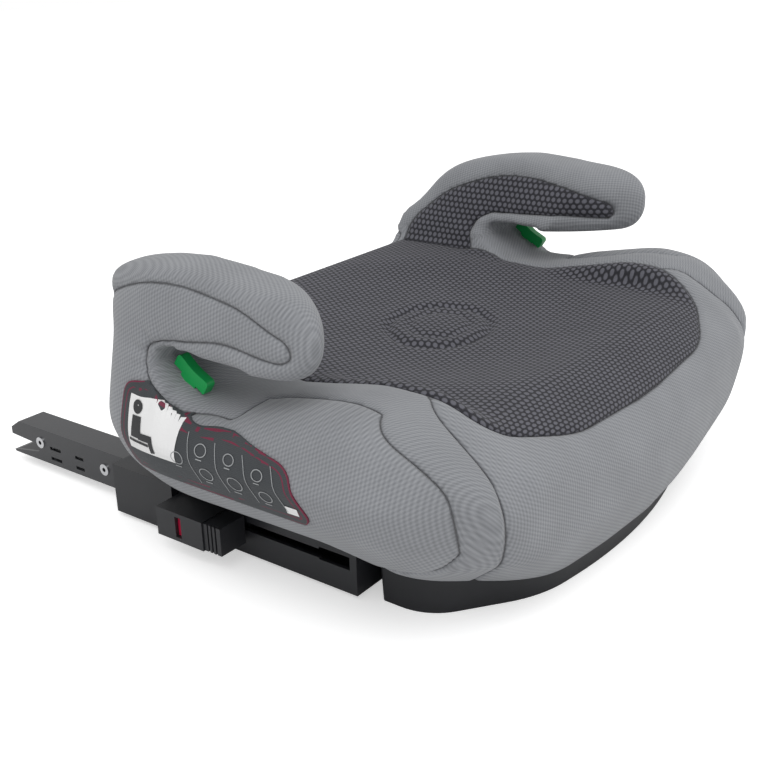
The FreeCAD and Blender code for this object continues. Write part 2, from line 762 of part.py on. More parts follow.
def connector_arm(side):
    """A folded steel arm with a V-mouthed jaw at its tip."""
    start, end = across(side, ARM_IN, ARM_OUT)
    profile = prism(f"arm_profile_{side}", "x", [
        ("-arm_front", "arm_bottom"), ("arm_tip - 1.5", "arm_bottom"), ("arm_tip", "arm_bottom + 2"),
        ("arm_tip", f"{ARM_TOP} - 6.5"), ("arm_tip - 10", ARM_TOP), ("-arm_front", ARM_TOP)], start, end)
    room = side_box("arm_room", side, f"{ARM_IN} + arm_plate", f"{ARM_OUT} - arm_plate", "-arm_front - 5",
                    "arm_tip - 1.5", "arm_bottom + arm_plate", f"{ARM_TOP} - arm_plate")
    mouth = prism(f"arm_mouth_{side}", "x", [
        ("jaw_middle_y", f"{JAW_Z} - jaw_radius"),
        ("arm_tip + 5", f"{JAW_Z} + jaw_radius + 1.8 - jaw_mouth_height - 2"),
        ("arm_tip + 5", f"{JAW_Z} + jaw_radius + 1.8"),
        ("jaw_middle_y", f"{JAW_Z} + jaw_radius")], f"{start} - 5", f"{end} + 5")
    bar = rod(f"arm_bar_room_{side}", "jaw_radius", f"{end} - ({start}) + 10", (f"{start} - 5", "jaw_middle_y", JAW_Z), "x")
    holes = [rod(f"arm_rivet_hole_{side}_{index}", "rivet_radius", f"{end} - ({start}) + 10",
                 (f"{start} - 5", str(y), f"arm_bottom + {rise}"), "x") for index, (y, rise) in enumerate(RIVETS)]
    stamps = [box(f"arm_stamp_{side}_{row}_{column}", (f"{start} - 5", f"{y} - {length / 2}", f"arm_bottom + {rise} - 1.2"),
                  (f"{end} + 5", f"{y} + {length / 2}", f"arm_bottom + {rise} + 1.2"))
              for row, rise in enumerate(STAMPED_SLOT_HEIGHTS)
              for column, (y, length) in enumerate(STAMPED_SLOTS)]
    link_slot = side_box("arm_link_slot", side, f"{ARM_OUT} - arm_plate - 1", f"{ARM_OUT} + 5",
                         "housing_front - release_travel", "housing_front + 22", SLOT_LOW, SLOT_HIGH)
    return cut(f"connector_arm_{side}", profile, room, mouth, bar, *holes, *stamps, link_slot)


def rivet(side, index, y, rise):
    """A tubular rivet with a rolled head on each face of the arm."""
    name = f"rivet_{side}_{index}"
    start, end = across(side, ARM_IN, ARM_OUT)
    z = f"arm_bottom + {rise}"
    shank = rod(f"{name}_shank", "rivet_radius", "arm_width", (start, str(y), z), "x")
    near_head = rod(f"{name}_near_head", "rivet_head_radius", "rivet_head", (f"{start} - rivet_head", str(y), z), "x")
    far_head = rod(f"{name}_far_head", "rivet_head_radius", "rivet_head", (end, str(y), z), "x")
    bore = rod(f"{name}_bore", "rivet_bore", "arm_width + 20", (f"{start} - 10", str(y), z), "x")
    return cut(name, fuse(f"{name}_solid", shank, near_head, far_head), bore)


for side in SIDES:
    node(f"connector_arm_{side}", connector_arm(side))
node("connector_rivets", group("connector_rivets", *[
    rivet(side, index, y, rise) for side in SIDES for index, (y, rise) in enumerate(RIVETS)]))

tube = rod("cross_tube_solid", "cross_tube_radius", f"2 * ({ARM_IN})", (f"-({ARM_IN})", "cross_tube_y", TUBE_Z), "x")
tube_bore = rod("cross_tube_bore", "cross_tube_radius - cross_tube_wall", f"2 * ({ARM_IN}) + 20",
                (f"-({ARM_IN}) - 10", "cross_tube_y", TUBE_Z), "x")
node("cross_tube", cut("cross_tube", tube, tube_bore))


def hook(side):
    """The latch claw: a hub on the first rivet, a U that takes the anchor bar and a tail."""
    start, end = across(side, f"{ARM_X} - hook_thickness / 2", f"{ARM_X} + hook_thickness / 2")
    claw = prism(f"hook_claw_{side}", "x", [
        ("-4.8", "1"), ("-4.6", "-6.5"), ("-0.5", "-10"), ("8.5", "-10"), ("13", "-7.6"),
        ("13.4", "-5.6"), ("9", "-1"), ("4.6", "1.5")], start, end)
    tail = prism(f"hook_tail_{side}", "x", [("-12", "-2"), ("0", "-4"), ("0", "4"), ("-12", "2")], start, end)
    hub = rod(f"hook_hub_{side}", "rivet_radius + 2", "hook_thickness", (start, "0", "0"), "x")
    blank = fuse(f"hook_blank_{side}", claw, tail, hub)
    blank.Placement = FreeCAD.Placement(Vector(0, PIVOT_Y, value_of(PIVOT_Z)),
                                        FreeCAD.Rotation(Vector(1, 0, 0), -HOOK_SWING))
    turn = math.radians(HOOK_SWING)
    bar_y = size("jaw_middle_y") - PIVOT_Y
    bar_z = value_of(JAW_Z) - value_of(PIVOT_Z)
    rest_y = PIVOT_Y + bar_y * math.cos(turn) + bar_z * math.sin(turn)
    rest_z = value_of(PIVOT_Z) - bar_y * math.sin(turn) + bar_z * math.cos(turn)
    radius = f"jaw_radius + {HOOK_BAR_GAP}"
    seat = rod(f"hook_seat_{side}", radius, "hook_thickness + 4", (f"{start} - 2", str(rest_y), str(rest_z)), "x")
    way = box(f"hook_way_{side}", (f"{start} - 2", str(rest_y), f"{rest_z} - ({radius})"),
              (f"{end} + 2", str(rest_y + 25), f"{rest_z} + {radius}"))
    entry = rod(f"hook_entry_{side}", radius, "hook_thickness + 4", (f"{start} - 2", "jaw_middle_y", JAW_Z), "x")
    pivot = rod(f"hook_pivot_{side}", "rivet_radius + 0.08", "hook_thickness + 4",
                (f"{start} - 2", str(PIVOT_Y), PIVOT_Z), "x")
    return cut(f"hook_{side}", blank, seat, way, entry, pivot)


for side in SIDES:
    node(f"hook_{side}", hook(side))

# ---- release housing -------------------------------------------------------------------------

def release_housing(side):
    """The moulded housing that rides outside the rail, fixed to the arm through the rail's slot."""
    body = side_box("housing_body", side, f"{RAIL_OUT} + running_gap", HOUSING_OUT, "housing_front",
                    "housing_back", "housing_bottom", "housing_top")
    stem = side_box("housing_stem", side, ARM_OUT, f"{RAIL_OUT} + 2", "housing_back - 14", "housing_back - 4",
                    f"{SLOT_LOW} + 0.5", f"{SLOT_HIGH} - 0.5")
    room = side_box("housing_room", side, MOUTH_OUT, f"{HOUSING_OUT} - housing_wall", "housing_front - 5",
                    "housing_back - 4", "housing_bottom + housing_wall", "housing_top - housing_wall")
    link_way = side_box("housing_link_way", side, f"{RAIL_OUT} - 2", f"{MOUTH_OUT} + 1", "housing_front - 5",
                        "housing_front + 22", SLOT_LOW, SLOT_HIGH)
    window = side_box("housing_window", side, f"{HOUSING_OUT} - housing_wall - 1", f"{HOUSING_OUT} + 2",
                      "window_middle_y - window_width / 2", "window_middle_y + window_width / 2",
                      "(housing_bottom + housing_top - window_height) / 2",
                      "(housing_bottom + housing_top + window_height) / 2")
    return cut(f"release_housing_{side}", fuse(f"housing_solid_{side}", body, stem), room, link_way, window)


def release_button(side):
    """The ridged end grip with the tail that draws the lock bar."""
    grip = side_box("button_grip", side, f"{RAIL_OUT} + 3", f"{HOUSING_OUT} - 1", "housing_front - button_length",
                    "housing_front - running_gap", "housing_bottom + 0.5", "housing_top - 0.5")
    grooves = [side_box(f"button_groove_{index}", side, f"{HOUSING_OUT} - 2.5", f"{HOUSING_OUT} + 2",
                        f"housing_front - {3.5 + 3.2 * index} - 1.3", f"housing_front - {3.5 + 3.2 * index}",
                        "housing_bottom", "housing_top") for index in range(3)]
    tail = side_box("button_tail", side, f"{HOUSING_OUT} - 17", f"{HOUSING_OUT} - 9", "housing_front - 1",
                    "housing_front + 20", "rail_slot_middle - 4", "rail_slot_middle + 4")
    return cut(f"release_button_{side}", fuse(f"button_solid_{side}", grip, tail), *grooves)


def lock_bar(side):
    """A flat bar with a cross arm that passes through the slots to the button's tail."""
    run = side_box("lock_run", side, f"{ARM_X} - 5", f"{ARM_X} + 5", "housing_front + 8",
                   f"{PIVOT_Y} - 18", "rail_slot_middle + 1.5", "rail_slot_middle + 5")
    arm = side_box("lock_cross", side, f"{ARM_X} - 5", f"{HOUSING_OUT} - 17", "housing_front + 8",
                   "housing_front + 18", "rail_slot_middle - 2.2", "rail_slot_middle + 2.2")
    return fuse(f"lock_bar_{side}", run, arm)


def indicator(side):
    """The two-colour flag that shows in the window."""
    return side_box("indicator", side, f"{HOUSING_OUT} - housing_wall - 2.3",
                    f"{HOUSING_OUT} - housing_wall - 0.3", "window_middle_y - 11", "window_middle_y + 13",
                    "housing_bottom + housing_wall + 0.3", "housing_top - housing_wall - 0.3")


def button_spring(side):
    """The tension coil that draws the button back."""
    start = size("housing_front") + 20.0
    length = size("housing_back") - 4.0 - start
    middle = SIDES[side] * (value_of(HOUSING_OUT) - 13.0)
    helix = Part.makeHelix((length - SPRING_WIRE) / SPRING_TURNS, length - SPRING_WIRE, SPRING_RADIUS)
    circle = Part.Wire(Part.makeCircle(SPRING_WIRE / 2, Vector(SPRING_RADIUS, 0, 0), Vector(0, 1, 0)))
    coil = Part.Wire(helix).makePipeShell([circle], True, True)
    coil.Placement = FreeCAD.Placement(Vector(middle, start + SPRING_WIRE / 2, size("rail_slot_middle")),
                                       TURNS["y"])
    return free_shape(f"button_spring_{side}", coil)


for side in SIDES:
    node(f"release_housing_{side}", release_housing(side))
    node(f"release_button_{side}", release_button(side))
    node(f"lock_bar_{side}", lock_bar(side))
    node(f"indicator_{side}", indicator(side))
    node(f"button_spring_{side}", button_spring(side))

# ---- checks and export -----------------------------------------------------------------------

doc.recompute()
for obj in doc.Objects:
    faults = [state for state in obj.State if state in ("Invalid", "Error")]
    if faults:
        raise RuntimeError(f"{obj.Name} is {faults}")
os.makedirs("parts", exist_ok=True)
for name, obj in nodes.items():
    shape = obj.Shape
    if shape.isNull() or not shape.isValid() or not shape.Solids:
        raise RuntimeError(f"{name} has no valid solid")
    shape.exportStep(f"parts/{name}.step")
    bounds = shape.BoundBox
    print(f"{name}: {len(shape.Solids)} solids, {shape.Volume:.0f} mm3, z {bounds.ZMin:.1f} to {bounds.ZMax:.1f}")
print(f"{len(nodes)} nodes")
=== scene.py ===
"""A backless child booster seat with anchor connectors: its covers, labels and finishes."""
from __future__ import annotations

import json
import logging
import math
from dataclasses import dataclass, field
from enum import Enum
from typing import Callable, Iterable, Sequence

import bmesh
import bpy
import numpy as np
from mathutils import Matrix, Vector
from mathutils.bvhtree import BVHTree
from mathutils.kdtree import KDTree


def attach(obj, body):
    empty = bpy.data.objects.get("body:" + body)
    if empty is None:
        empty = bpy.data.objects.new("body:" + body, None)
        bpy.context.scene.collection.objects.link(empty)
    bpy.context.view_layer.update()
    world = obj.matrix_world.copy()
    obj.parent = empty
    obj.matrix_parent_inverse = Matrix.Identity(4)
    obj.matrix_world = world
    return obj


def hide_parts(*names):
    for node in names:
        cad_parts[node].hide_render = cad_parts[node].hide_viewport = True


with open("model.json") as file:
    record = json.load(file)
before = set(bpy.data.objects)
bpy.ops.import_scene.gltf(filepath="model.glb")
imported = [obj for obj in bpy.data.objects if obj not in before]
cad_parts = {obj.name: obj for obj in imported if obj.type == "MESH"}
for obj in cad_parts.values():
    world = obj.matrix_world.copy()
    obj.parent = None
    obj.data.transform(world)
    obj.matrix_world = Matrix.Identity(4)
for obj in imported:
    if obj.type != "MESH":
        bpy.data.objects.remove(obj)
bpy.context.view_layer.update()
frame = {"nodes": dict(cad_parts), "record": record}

log = logging.getLogger("booster")
MM = 0.001


class Side(Enum):
    """The seated child's own sides, as the sign of X."""

    RIGHT = -1
    LEFT = 1

    @property
    def word(self) -> str:
        """The side's name as it stands in node names."""
        return self.name.lower()


# ---- small tools -----------------------------------------------------------------------------

def linear(code: str) -> tuple[float, float, float, float]:
    """Turns an sRGB hex colour into Blender's linear values.

    Args:
        code: Six hex digits after a hash.

    Returns:
        Red, green, blue and a full alpha.
    """
    channels = [int(code[start:start + 2], 16) / 255 for start in (1, 3, 5)]
    red, green, blue = (c / 12.92 if c <= 0.04045 else ((c + 0.055) / 1.055) ** 2.4 for c in channels)
    return red, green, blue, 1.0


def smooth_step(low: float, high: float, value: np.ndarray) -> np.ndarray:
    """A ramp from 0 to 1 with flat ends.

    Args:
        low: Where the ramp leaves 0.
        high: Where the ramp reaches 1.
        value: The values to map.

    Returns:
        The ramped values.
    """
    t = np.clip((value - low) / (high - low), 0.0, 1.0)
    return t * t * (3 - 2 * t)


def rounded_outline(corners: Sequence[tuple[float, float, float]], step: float = 6.0) -> list[tuple[float, float]]:
    """Walks round a polygon whose corners are arcs.

    Args:
        corners: Each corner as two coordinates and a radius, in millimetres.
        step: The arcs' angle step in degrees.

    Returns:
        The points in order, in millimetres.
    """
    points: list[tuple[float, float]] = []
    count = len(corners)
    for index, (u, v, radius) in enumerate(corners):
        corner = Vector((u, v))
        back = (Vector(corners[index - 1][:2]) - corner).normalized()
        ahead = (Vector(corners[(index + 1) % count][:2]) - corner).normalized()
        if radius <= 0:
            points.append((u, v))
            continue
        half = back.angle(ahead) / 2
        centre = corner + (back + ahead).normalized() * (radius / math.sin(half))
        start = corner + back * (radius / math.tan(half)) - centre
        turn = math.pi - 2 * half
        if back.cross(ahead) > 0:
            turn = -turn
        pieces = max(1, round(abs(math.degrees(turn)) / step))
        for piece in range(pieces + 1):
            angle = turn * piece / pieces
            spoke = Matrix.Rotation(angle, 2) @ start
            points.append(tuple(centre + spoke))
    return points


def evaluated(obj: bpy.types.Object) -> bpy.types.Mesh:
    """The mesh of an object with its modifiers applied."""
    graph = bpy.context.evaluated_depsgraph_get()
    graph.update()
    return bpy.data.meshes.new_from_object(obj.evaluated_get(graph))


def apply_modifiers(obj: bpy.types.Object) -> None:
    """Makes an object's modifiers part of its mesh."""
    mesh = evaluated(obj)
    obj.modifiers.clear()
    obj.data = mesh


def new_object(name: str, bm: bmesh.types.BMesh) -> bpy.types.Object:
    """Turns a bmesh into a linked object and frees it.

    Args:
        name: The object's name.
        bm: The shape, in metres.

    Returns:
        The object, at the origin.
    """
    mesh = bpy.data.meshes.new(name)
    bm.to_mesh(mesh)
    bm.free()
    obj = bpy.data.objects.new(name, mesh)
    bpy.context.scene.collection.objects.link(obj)
    return obj


def coordinates(mesh: bpy.types.Mesh) -> np.ndarray:
    """A mesh's vertices as rows, in millimetres."""
    flat = np.empty(len(mesh.vertices) * 3)
    mesh.vertices.foreach_get("co", flat)
    return flat.reshape(-1, 3) / MM


def set_coordinates(mesh: bpy.types.Mesh, points: np.ndarray) -> None:
    """Writes vertices given as rows, in millimetres."""
    mesh.vertices.foreach_set("co", (points * MM).ravel())
    mesh.update()


def smooth_shade(obj: bpy.types.Object) -> None:
    """Shades every face of an object smoothly."""
    for polygon in obj.data.polygons:
        polygon.use_smooth = True


# ---- the covered body ------------------------------------------------------------------------

@dataclass
class Cover:
    """The padded cover: one rounded body, cut along its seams into sewn panels.

    All sizes are in millimetres.
    """

    half_width: float = 218.0
    front: float = -212.0
    back: float = 95.0
    bow: float = 13.0
    corner: float = 46.0
    corner_radius: float = 38.0
    tuck_softening: float = 12.0
    crown: float = 205.0
    arm_top: float = 198.0
    arm_tip: float = -103.0
    arm_under: float = 149.0
    slot_floor: float = 121.0
    slot_end: float = 7.0
    crest: float = 137.0
    seat_back: float = 131.0
    seat_middle: float = 119.0
    seat_front: float = 104.0
    root_inner: float = 126.0
    top_inner: float = 166.0
    seat_half_width: float = 141.0
    side_hem: float = 52.0
    front_hem: float = 22.0
    hem_turn: float = -110.0
    voxel: float = 2.6
    rounding_passes: int = 18
    dish: float = 7.0
    depth: float = -25.0
    thickness: float = 3.2
    levels: tuple[tuple[float, float], ...] = (
        (-25.0, 161.0), (22.0, 161.0), (52.0, 190.0), (75.0, 209.0), (98.0, 218.0), (149.0, 207.0), (225.0, 203.0))

    def half_width_at(self, height: np.ndarray) -> np.ndarray:
        """Half the body's width at a height."""
        return np.interp(height, [level for level, _ in self.levels], [width for _, width in self.levels])

    def plan(self, height: float) -> list[tuple[float, float]]:
        """The outline seen from above at one height.

        Args:
            height: The height of the level.

        Returns:
            The outline's points.
        """
        tuck = 1.0 - min(1.0, max(0.0, (height - self.front_hem) / (self.side_hem - self.front_hem)))
        width = float(self.half_width_at(np.array(height)))
        front = self.front + 8.0 * tuck
        back = self.back - 8.0 * tuck
        corner = self.corner + self.tuck_softening * tuck
        radius = self.corner_radius + self.tuck_softening * tuck
        half = [
            (0.0, front, 420.0),
            (width - corner, front + self.bow, radius),
            (width - 3.0, front + self.bow + corner, radius + 4.0),
            (width, back - 83.0, 90.0),
            (width - 10.0, back - 42.0, 60.0),
            (width - 62.0, back, 60.0),
        ]
        far = [(-u, v, arc) for u, v, arc in reversed(half) if u > 0]
        return rounded_outline(half + far)

    def stack(self) -> bpy.types.Object:
        """The block whose outline is the body's plan at each height."""
        bm = bmesh.new()
        rings = []
        for height, _ in self.levels:
            verts = [bm.verts.new((u * MM, v * MM, height * MM)) for u, v in self.plan(height)]
            rings.append([bm.edges.new((verts[i - 1], verts[i])) for i in range(len(verts))])
        for lower, upper in zip(rings, rings[1:]):
            bmesh.ops.bridge_loops(bm, edges=lower + upper)
        for ring in (rings[0], rings[-1]):
            bmesh.ops.edgeloop_fill(bm, edges=ring)
        bmesh.ops.recalc_face_normals(bm, faces=bm.faces)
        return new_object("stack", bm)

    def side_profile(self) -> list[tuple[float, float]]:
        """A side seen square on: bolster, belt slot and armrest."""
        return rounded_outline([
            (self.back + 1.0, self.depth, 0.0),
            (self.back + 1.0, self.arm_top - 46.0, 40.0),
            (self.back - 30.0, self.arm_top - 13.0, 50.0),
            (0.0, self.arm_top + 1.5, 160.0),
            (self.arm_tip + 22.0, self.arm_top - 6.0, 60.0),
            (self.arm_tip - 1.0, self.arm_top - 14.0, 20.0),
            (self.arm_tip + 2.0, self.arm_under - 6.0, 20.0),
            (self.arm_tip + 40.0, self.arm_under + 1.0, 50.0),
            (self.slot_end, self.arm_under + 1.0, 7.0),
            (self.slot_end + 4.0, self.arm_under - 9.0, 6.0),
            (self.slot_end - 24.0, self.slot_floor, 14.0),
            (self.slot_end - 46.0, self.slot_floor, 40.0),
            (self.arm_tip - 12.0, self.crest, 60.0),
            (self.arm_tip - 42.0, self.crest - 2.0, 40.0),
            (self.front + 24.0, self.crest - 30.0, 45.0),
            (self.front - 4.0, 60.0, 60.0),
            (self.front - 4.0, self.depth, 0.0),
        ])

    def seat_profile(self) -> list[tuple[float, float]]:
        """The middle of the seat seen from the side."""
        return rounded_outline([
            (self.back + 1.0, self.depth, 0.0),
            (self.back + 1.0, self.seat_back, 18.0),
            (self.back - 60.0, self.seat_back - 1.0, 120.0),
            (self.front + 130.0, self.seat_middle, 300.0),
            (self.front + 52.0, self.seat_middle + 1.0, 60.0),
            (self.front + 14.0, self.seat_front, 22.0),
            (self.front - 4.0, self.seat_front - 46.0, 60.0),
            (self.front - 4.0, self.depth, 0.0),
        ])

    def prism(self, name: str, profile: Sequence[tuple[float, float]], near: float, far: float,
              lean: bool) -> bpy.types.Object:
        """A profile pushed sideways, whose near face may lean as the armrest does.

        Args:
            name: The object's name.
            profile: The points (y, z).
            near: X of the near face.
            far: X of the far face.
            lean: Whether the near face follows the armrest's inner face.

        Returns:
            The solid.
        """
        bm = bmesh.new()
        verts = [bm.verts.new((near * MM, y * MM, z * MM)) for y, z in profile]
        face = bm.faces.new(verts)
        grown = bmesh.ops.extrude_face_region(bm, geom=[face])
        moved = [item for item in grown["geom"] if isinstance(item, bmesh.types.BMVert)]
        bmesh.ops.translate(bm, verts=moved, vec=Vector(((far - near) * MM, 0, 0)))
        if lean:
            sign = math.copysign(1, near)
            for vert in verts:
                inner = np.interp(vert.co.z / MM, (self.seat_middle, self.arm_top), (self.root_inner, self.top_inner))
                vert.co.x = sign * float(inner) * MM
        bmesh.ops.triangulate(bm, faces=[f for f in bm.faces if len(f.verts) > 4])
        bmesh.ops.recalc_face_normals(bm, faces=bm.faces)
        return new_object(name, bm)

    def body(self) -> bpy.types.Object:
        """The whole covered body, rounded, before its seams are cut."""
        middle = self.seat_half_width + 4.0
        solid = self.prism("body", self.seat_profile(), -middle, middle, False)
        stack = self.stack()
        helpers = [stack]
        for side in Side:
            far = side.value * (self.half_width + 6.0)
            flank = self.prism("flank", self.side_profile(), side.value * self.root_inner, far, True)
            helpers.append(flank)
            union = solid.modifiers.new("flank", "BOOLEAN")
            union.operation = "UNION"
            union.object = flank
        clip = solid.modifiers.new("clip", "BOOLEAN")
        clip.operation = "INTERSECT"
        clip.object = stack
        apply_modifiers(solid)
        for helper in helpers:
            bpy.data.objects.remove(helper)
        remesh = solid.modifiers.new("remesh", "REMESH")
        remesh.mode = "VOXEL"
        remesh.voxel_size = self.voxel * MM
        apply_modifiers(solid)
        bm = bmesh.new()
        bm.from_mesh(solid.data)
        for _ in range(self.rounding_passes):
            bmesh.ops.smooth_vert(bm, verts=bm.verts, factor=0.5, use_axis_x=True, use_axis_y=True, use_axis_z=True)
        bm.to_mesh(solid.data)
        bm.free()
        set_coordinates(solid.data, self.modelled(coordinates(solid.data)))
        bm = bmesh.new()
        bm.from_mesh(solid.data)
        for _ in range(self.rounding_passes // 3):
            bmesh.ops.smooth_vert(bm, verts=bm.verts, factor=0.5, use_axis_x=True, use_axis_y=True, use_axis_z=True)
        bm.to_mesh(solid.data)
        bm.free()
        return solid

    def slot_middle(self, y: np.ndarray) -> np.ndarray:
        """The height midway between the bolster and the armrest above it."""
        return np.interp(y, (self.front, self.arm_tip - 40, self.arm_tip, self.slot_end - 40, self.slot_end + 8),
                         (175.0, 158.0, 141.0, 135.0, 137.0))

    def modelled(self, points: np.ndarray) -> np.ndarray:
        """Rounds the armrests' tips and slopes the bolsters outwards.

        Args:
            points: The body's vertices in millimetres.

        Returns:
            The moved vertices.
        """
        points = points.copy()
        out = np.abs(points[:, 0])
        sign = np.sign(points[:, 0])
        y, z = points[:, 1], points[:, 2]
        above = smooth_step(-2.0, 2.0, z - self.slot_middle(y))
        along = smooth_step(-12.0, self.arm_tip, y) * above * (out > 140)
        inner = 36.0 * np.clip((193.0 - out) / 36.0, 0.0, 1.2) ** 1.7
        outer = 14.0 * np.clip((out - 191.0) / 12.0, 0.0, 1.0) ** 2
        y = y + along * (inner + outer)
        fall = 15.0 * smooth_step(30.0, 96.0, y) ** 1.6 + 9.0 * smooth_step(188.0, 206.0, out) * smooth_step(-20.0, 70.0, y)
        z = z - fall * smooth_step(140.0, 178.0, z)
        drop = np.maximum(0.0, out - 176.0) ** 2 / 130.0
        low = (1.0 - above) * smooth_step(90.0, 122.0, z) * (1.0 - smooth_step(-10.0, 12.0, y))
        hollow = np.clip(1.0 - (out / 128.0) ** 2 - ((y + 50.0) / 128.0) ** 2, 0.0, 1.0) * (z > 90.0)
        points[:, 2] = z - drop * low - self.dish * smooth_step(0.0, 0.9, hollow)
        points[:, 0] = sign * out
        points[:, 1] = y
        return points


# ---- the sewn panels ---------------------------------------------------------------------------

class Panel(Enum):
    """The panels that the cover is sewn from."""

    GUSSET = "gusset"
    SIDE = "side_panel"
    ARM = "arm_mesh"
    SEAT = "seat_mesh"
    FRONT = "front_panel"
    REAR = "rear_panel"


def margin(u: np.ndarray, v: np.ndarray, outline: Sequence[tuple[float, float]]) -> np.ndarray:
    """How far points lie inside a closed outline.

    Args:
        u: The points' first coordinate.
        v: The points' second coordinate.
        outline: The outline's corners.

    Returns:
        The distance to the outline, below zero outside it.
    """
    best = np.full(u.shape, 1e9)
    inside = np.zeros(u.shape, dtype=bool)
    ends = list(outline)
    for (u0, v0), (u1, v1) in zip(ends, ends[1:] + ends[:1]):
        du, dv = u1 - u0, v1 - v0
        t = np.clip(((u - u0) * du + (v - v0) * dv) / max(1e-9, du * du + dv * dv), 0.0, 1.0)
        best = np.minimum(best, np.hypot(u - u0 - t * du, v - v0 - t * dv))
        if dv != 0.0:
            crosses = ((v0 > v) != (v1 > v)) & (u < u0 + (v - v0) * du / dv)
            inside ^= crosses
    return np.where(inside, best, -best)


def side_outline() -> list[tuple[float, float]]:
    """A side panel's seam seen square on, as points (y, z)."""
    return rounded_outline([
        (84.0, -60.0, 0.0), (84.0, 146.0, 30.0), (56.0, 172.0, 60.0), (0.0, 193.5, 120.0), (-58.0, 184.0, 60.0),
        (-94.0, 168.0, 9.0), (-88.0, 157.0, 9.0), (-46.0, 163.5, 60.0), (-8.0, 157.0, 30.0), (17.0, 150.0, 9.0),
        (14.0, 133.0, 14.0), (-12.0, 117.0, 12.0), (-46.0, 118.0, 8.0), (-52.0, 143.0, 6.0), (-260.0, 143.0, 0.0),
        (-260.0, -60.0, 0.0)])


def arm_mesh_outline() -> list[tuple[float, float]]:
    """An armrest's mesh seen square on, as points (y, z)."""
    return rounded_outline([
        (80.0, 100.0, 0.0), (80.0, 146.0, 30.0), (52.0, 170.0, 60.0), (0.0, 189.0, 120.0), (-56.0, 180.0, 60.0),
        (-91.0, 167.0, 8.0), (-84.0, 157.5, 8.0), (-46.0, 161.0, 60.0), (8.0, 158.0, 22.0), (26.0, 146.0, 14.0),
        (14.0, 127.0, 16.0), (-14.0, 116.0, 10.0), (-20.0, 100.0, 0.0)])


def seat_outline() -> list[tuple[float, float]]:
    """The seat mesh's seam seen from above, as points (x, y)."""
    half = [(0.0, -198.0, 300.0), (88.0, -194.0, 80.0), (136.0, -170.0, 34.0), (147.0, -132.0, 90.0),
            (141.0, -50.0, 200.0), (130.0, 30.0, 200.0), (128.0, 84.0, 4.0)]
    return rounded_outline(half + [(-u, v, radius) for u, v, radius in reversed(half[1:])])


@dataclass
class Sewing:
    """Where the cover's seams run and how its panels swell between them, in millimetres."""

    corner: float = 120.0
    crest_y: tuple[float, ...] = (-160.0, -137.0, -111.0, -89.0, -65.0, -45.0, -35.0, -10.0, 12.0)
    crest_out: tuple[float, ...] = (176.0, 180.0, 175.0, 171.0, 169.0, 173.0, 178.0, 183.0, 185.0)
    rear_half: float = 150.0
    groove: float = 1.3
    groove_width: float = 2.0
    swell: float = 2.0
    swell_reach: float = 16.0

    def hem_height(self, points: np.ndarray, cover: Cover) -> np.ndarray:
        """The height of the cover's lower edge under each point.

        Args:
            points: Points in millimetres.
            cover: The cover's sizes.

        Returns:
            The hem's height.
        """
        y = points[:, 1]
        low = cover.front_hem + (cover.side_hem - cover.front_hem) * smooth_step(-178.0, -92.0, y)
        return low + 15.0 * np.clip((y - 52.0) / 43.0, 0.0, 1.0) ** 2

    def fields(self, points: np.ndarray) -> dict[Panel, np.ndarray]:
        """How far each point lies inside each panel.

        Args:
            points: Points in millimetres.

        Returns:
            One value per point for each panel but the gusset.
        """
        x, y, z = points.T
        out = np.abs(x)
        forward = -self.corner - y
        aside = out - self.corner
        reach = np.hypot(forward, aside)
        turn = np.degrees(np.arctan2(forward, aside))
        outer = 51.0 - 0.13 * (z - 20.0) - 25.0 * (np.maximum(0.0, z - 100.0) / 36.0) ** 2
        inner = 66.0 - 0.095 * (z - 22.0) - 8.0 * (np.maximum(0.0, z - 100.0) / 22.0) ** 2
        in_front = y < self.corner * -0.9
        side_end = np.where(in_front | (aside < 0), np.radians(outer - turn) * np.maximum(reach, 20.0), 60.0)
        limit = np.where(z > Cover().slot_middle(y), 185.0, np.interp(y, self.crest_y, self.crest_out))
        side = np.minimum(np.minimum(margin(y, z, side_outline()), out - limit), side_end)
        seat = np.minimum(margin(x, y, seat_outline()), z - 84.0)
        arm = np.minimum(np.minimum(margin(y, z, arm_mesh_outline()), 178.0 - out), -margin(x, y, seat_outline()))
        front = np.where(y < -100.0, np.radians(turn - inner) * np.maximum(reach, 20.0), -60.0)
        front = np.minimum(front, -margin(x, y, seat_outline()) + 60.0 * (z < 84.0))
        rear = np.minimum(np.minimum(self.rear_half - out, y - 86.0), 134.0 - z)
        return {Panel.SEAT: seat, Panel.ARM: arm, Panel.SIDE: side, Panel.FRONT: front, Panel.REAR: rear}


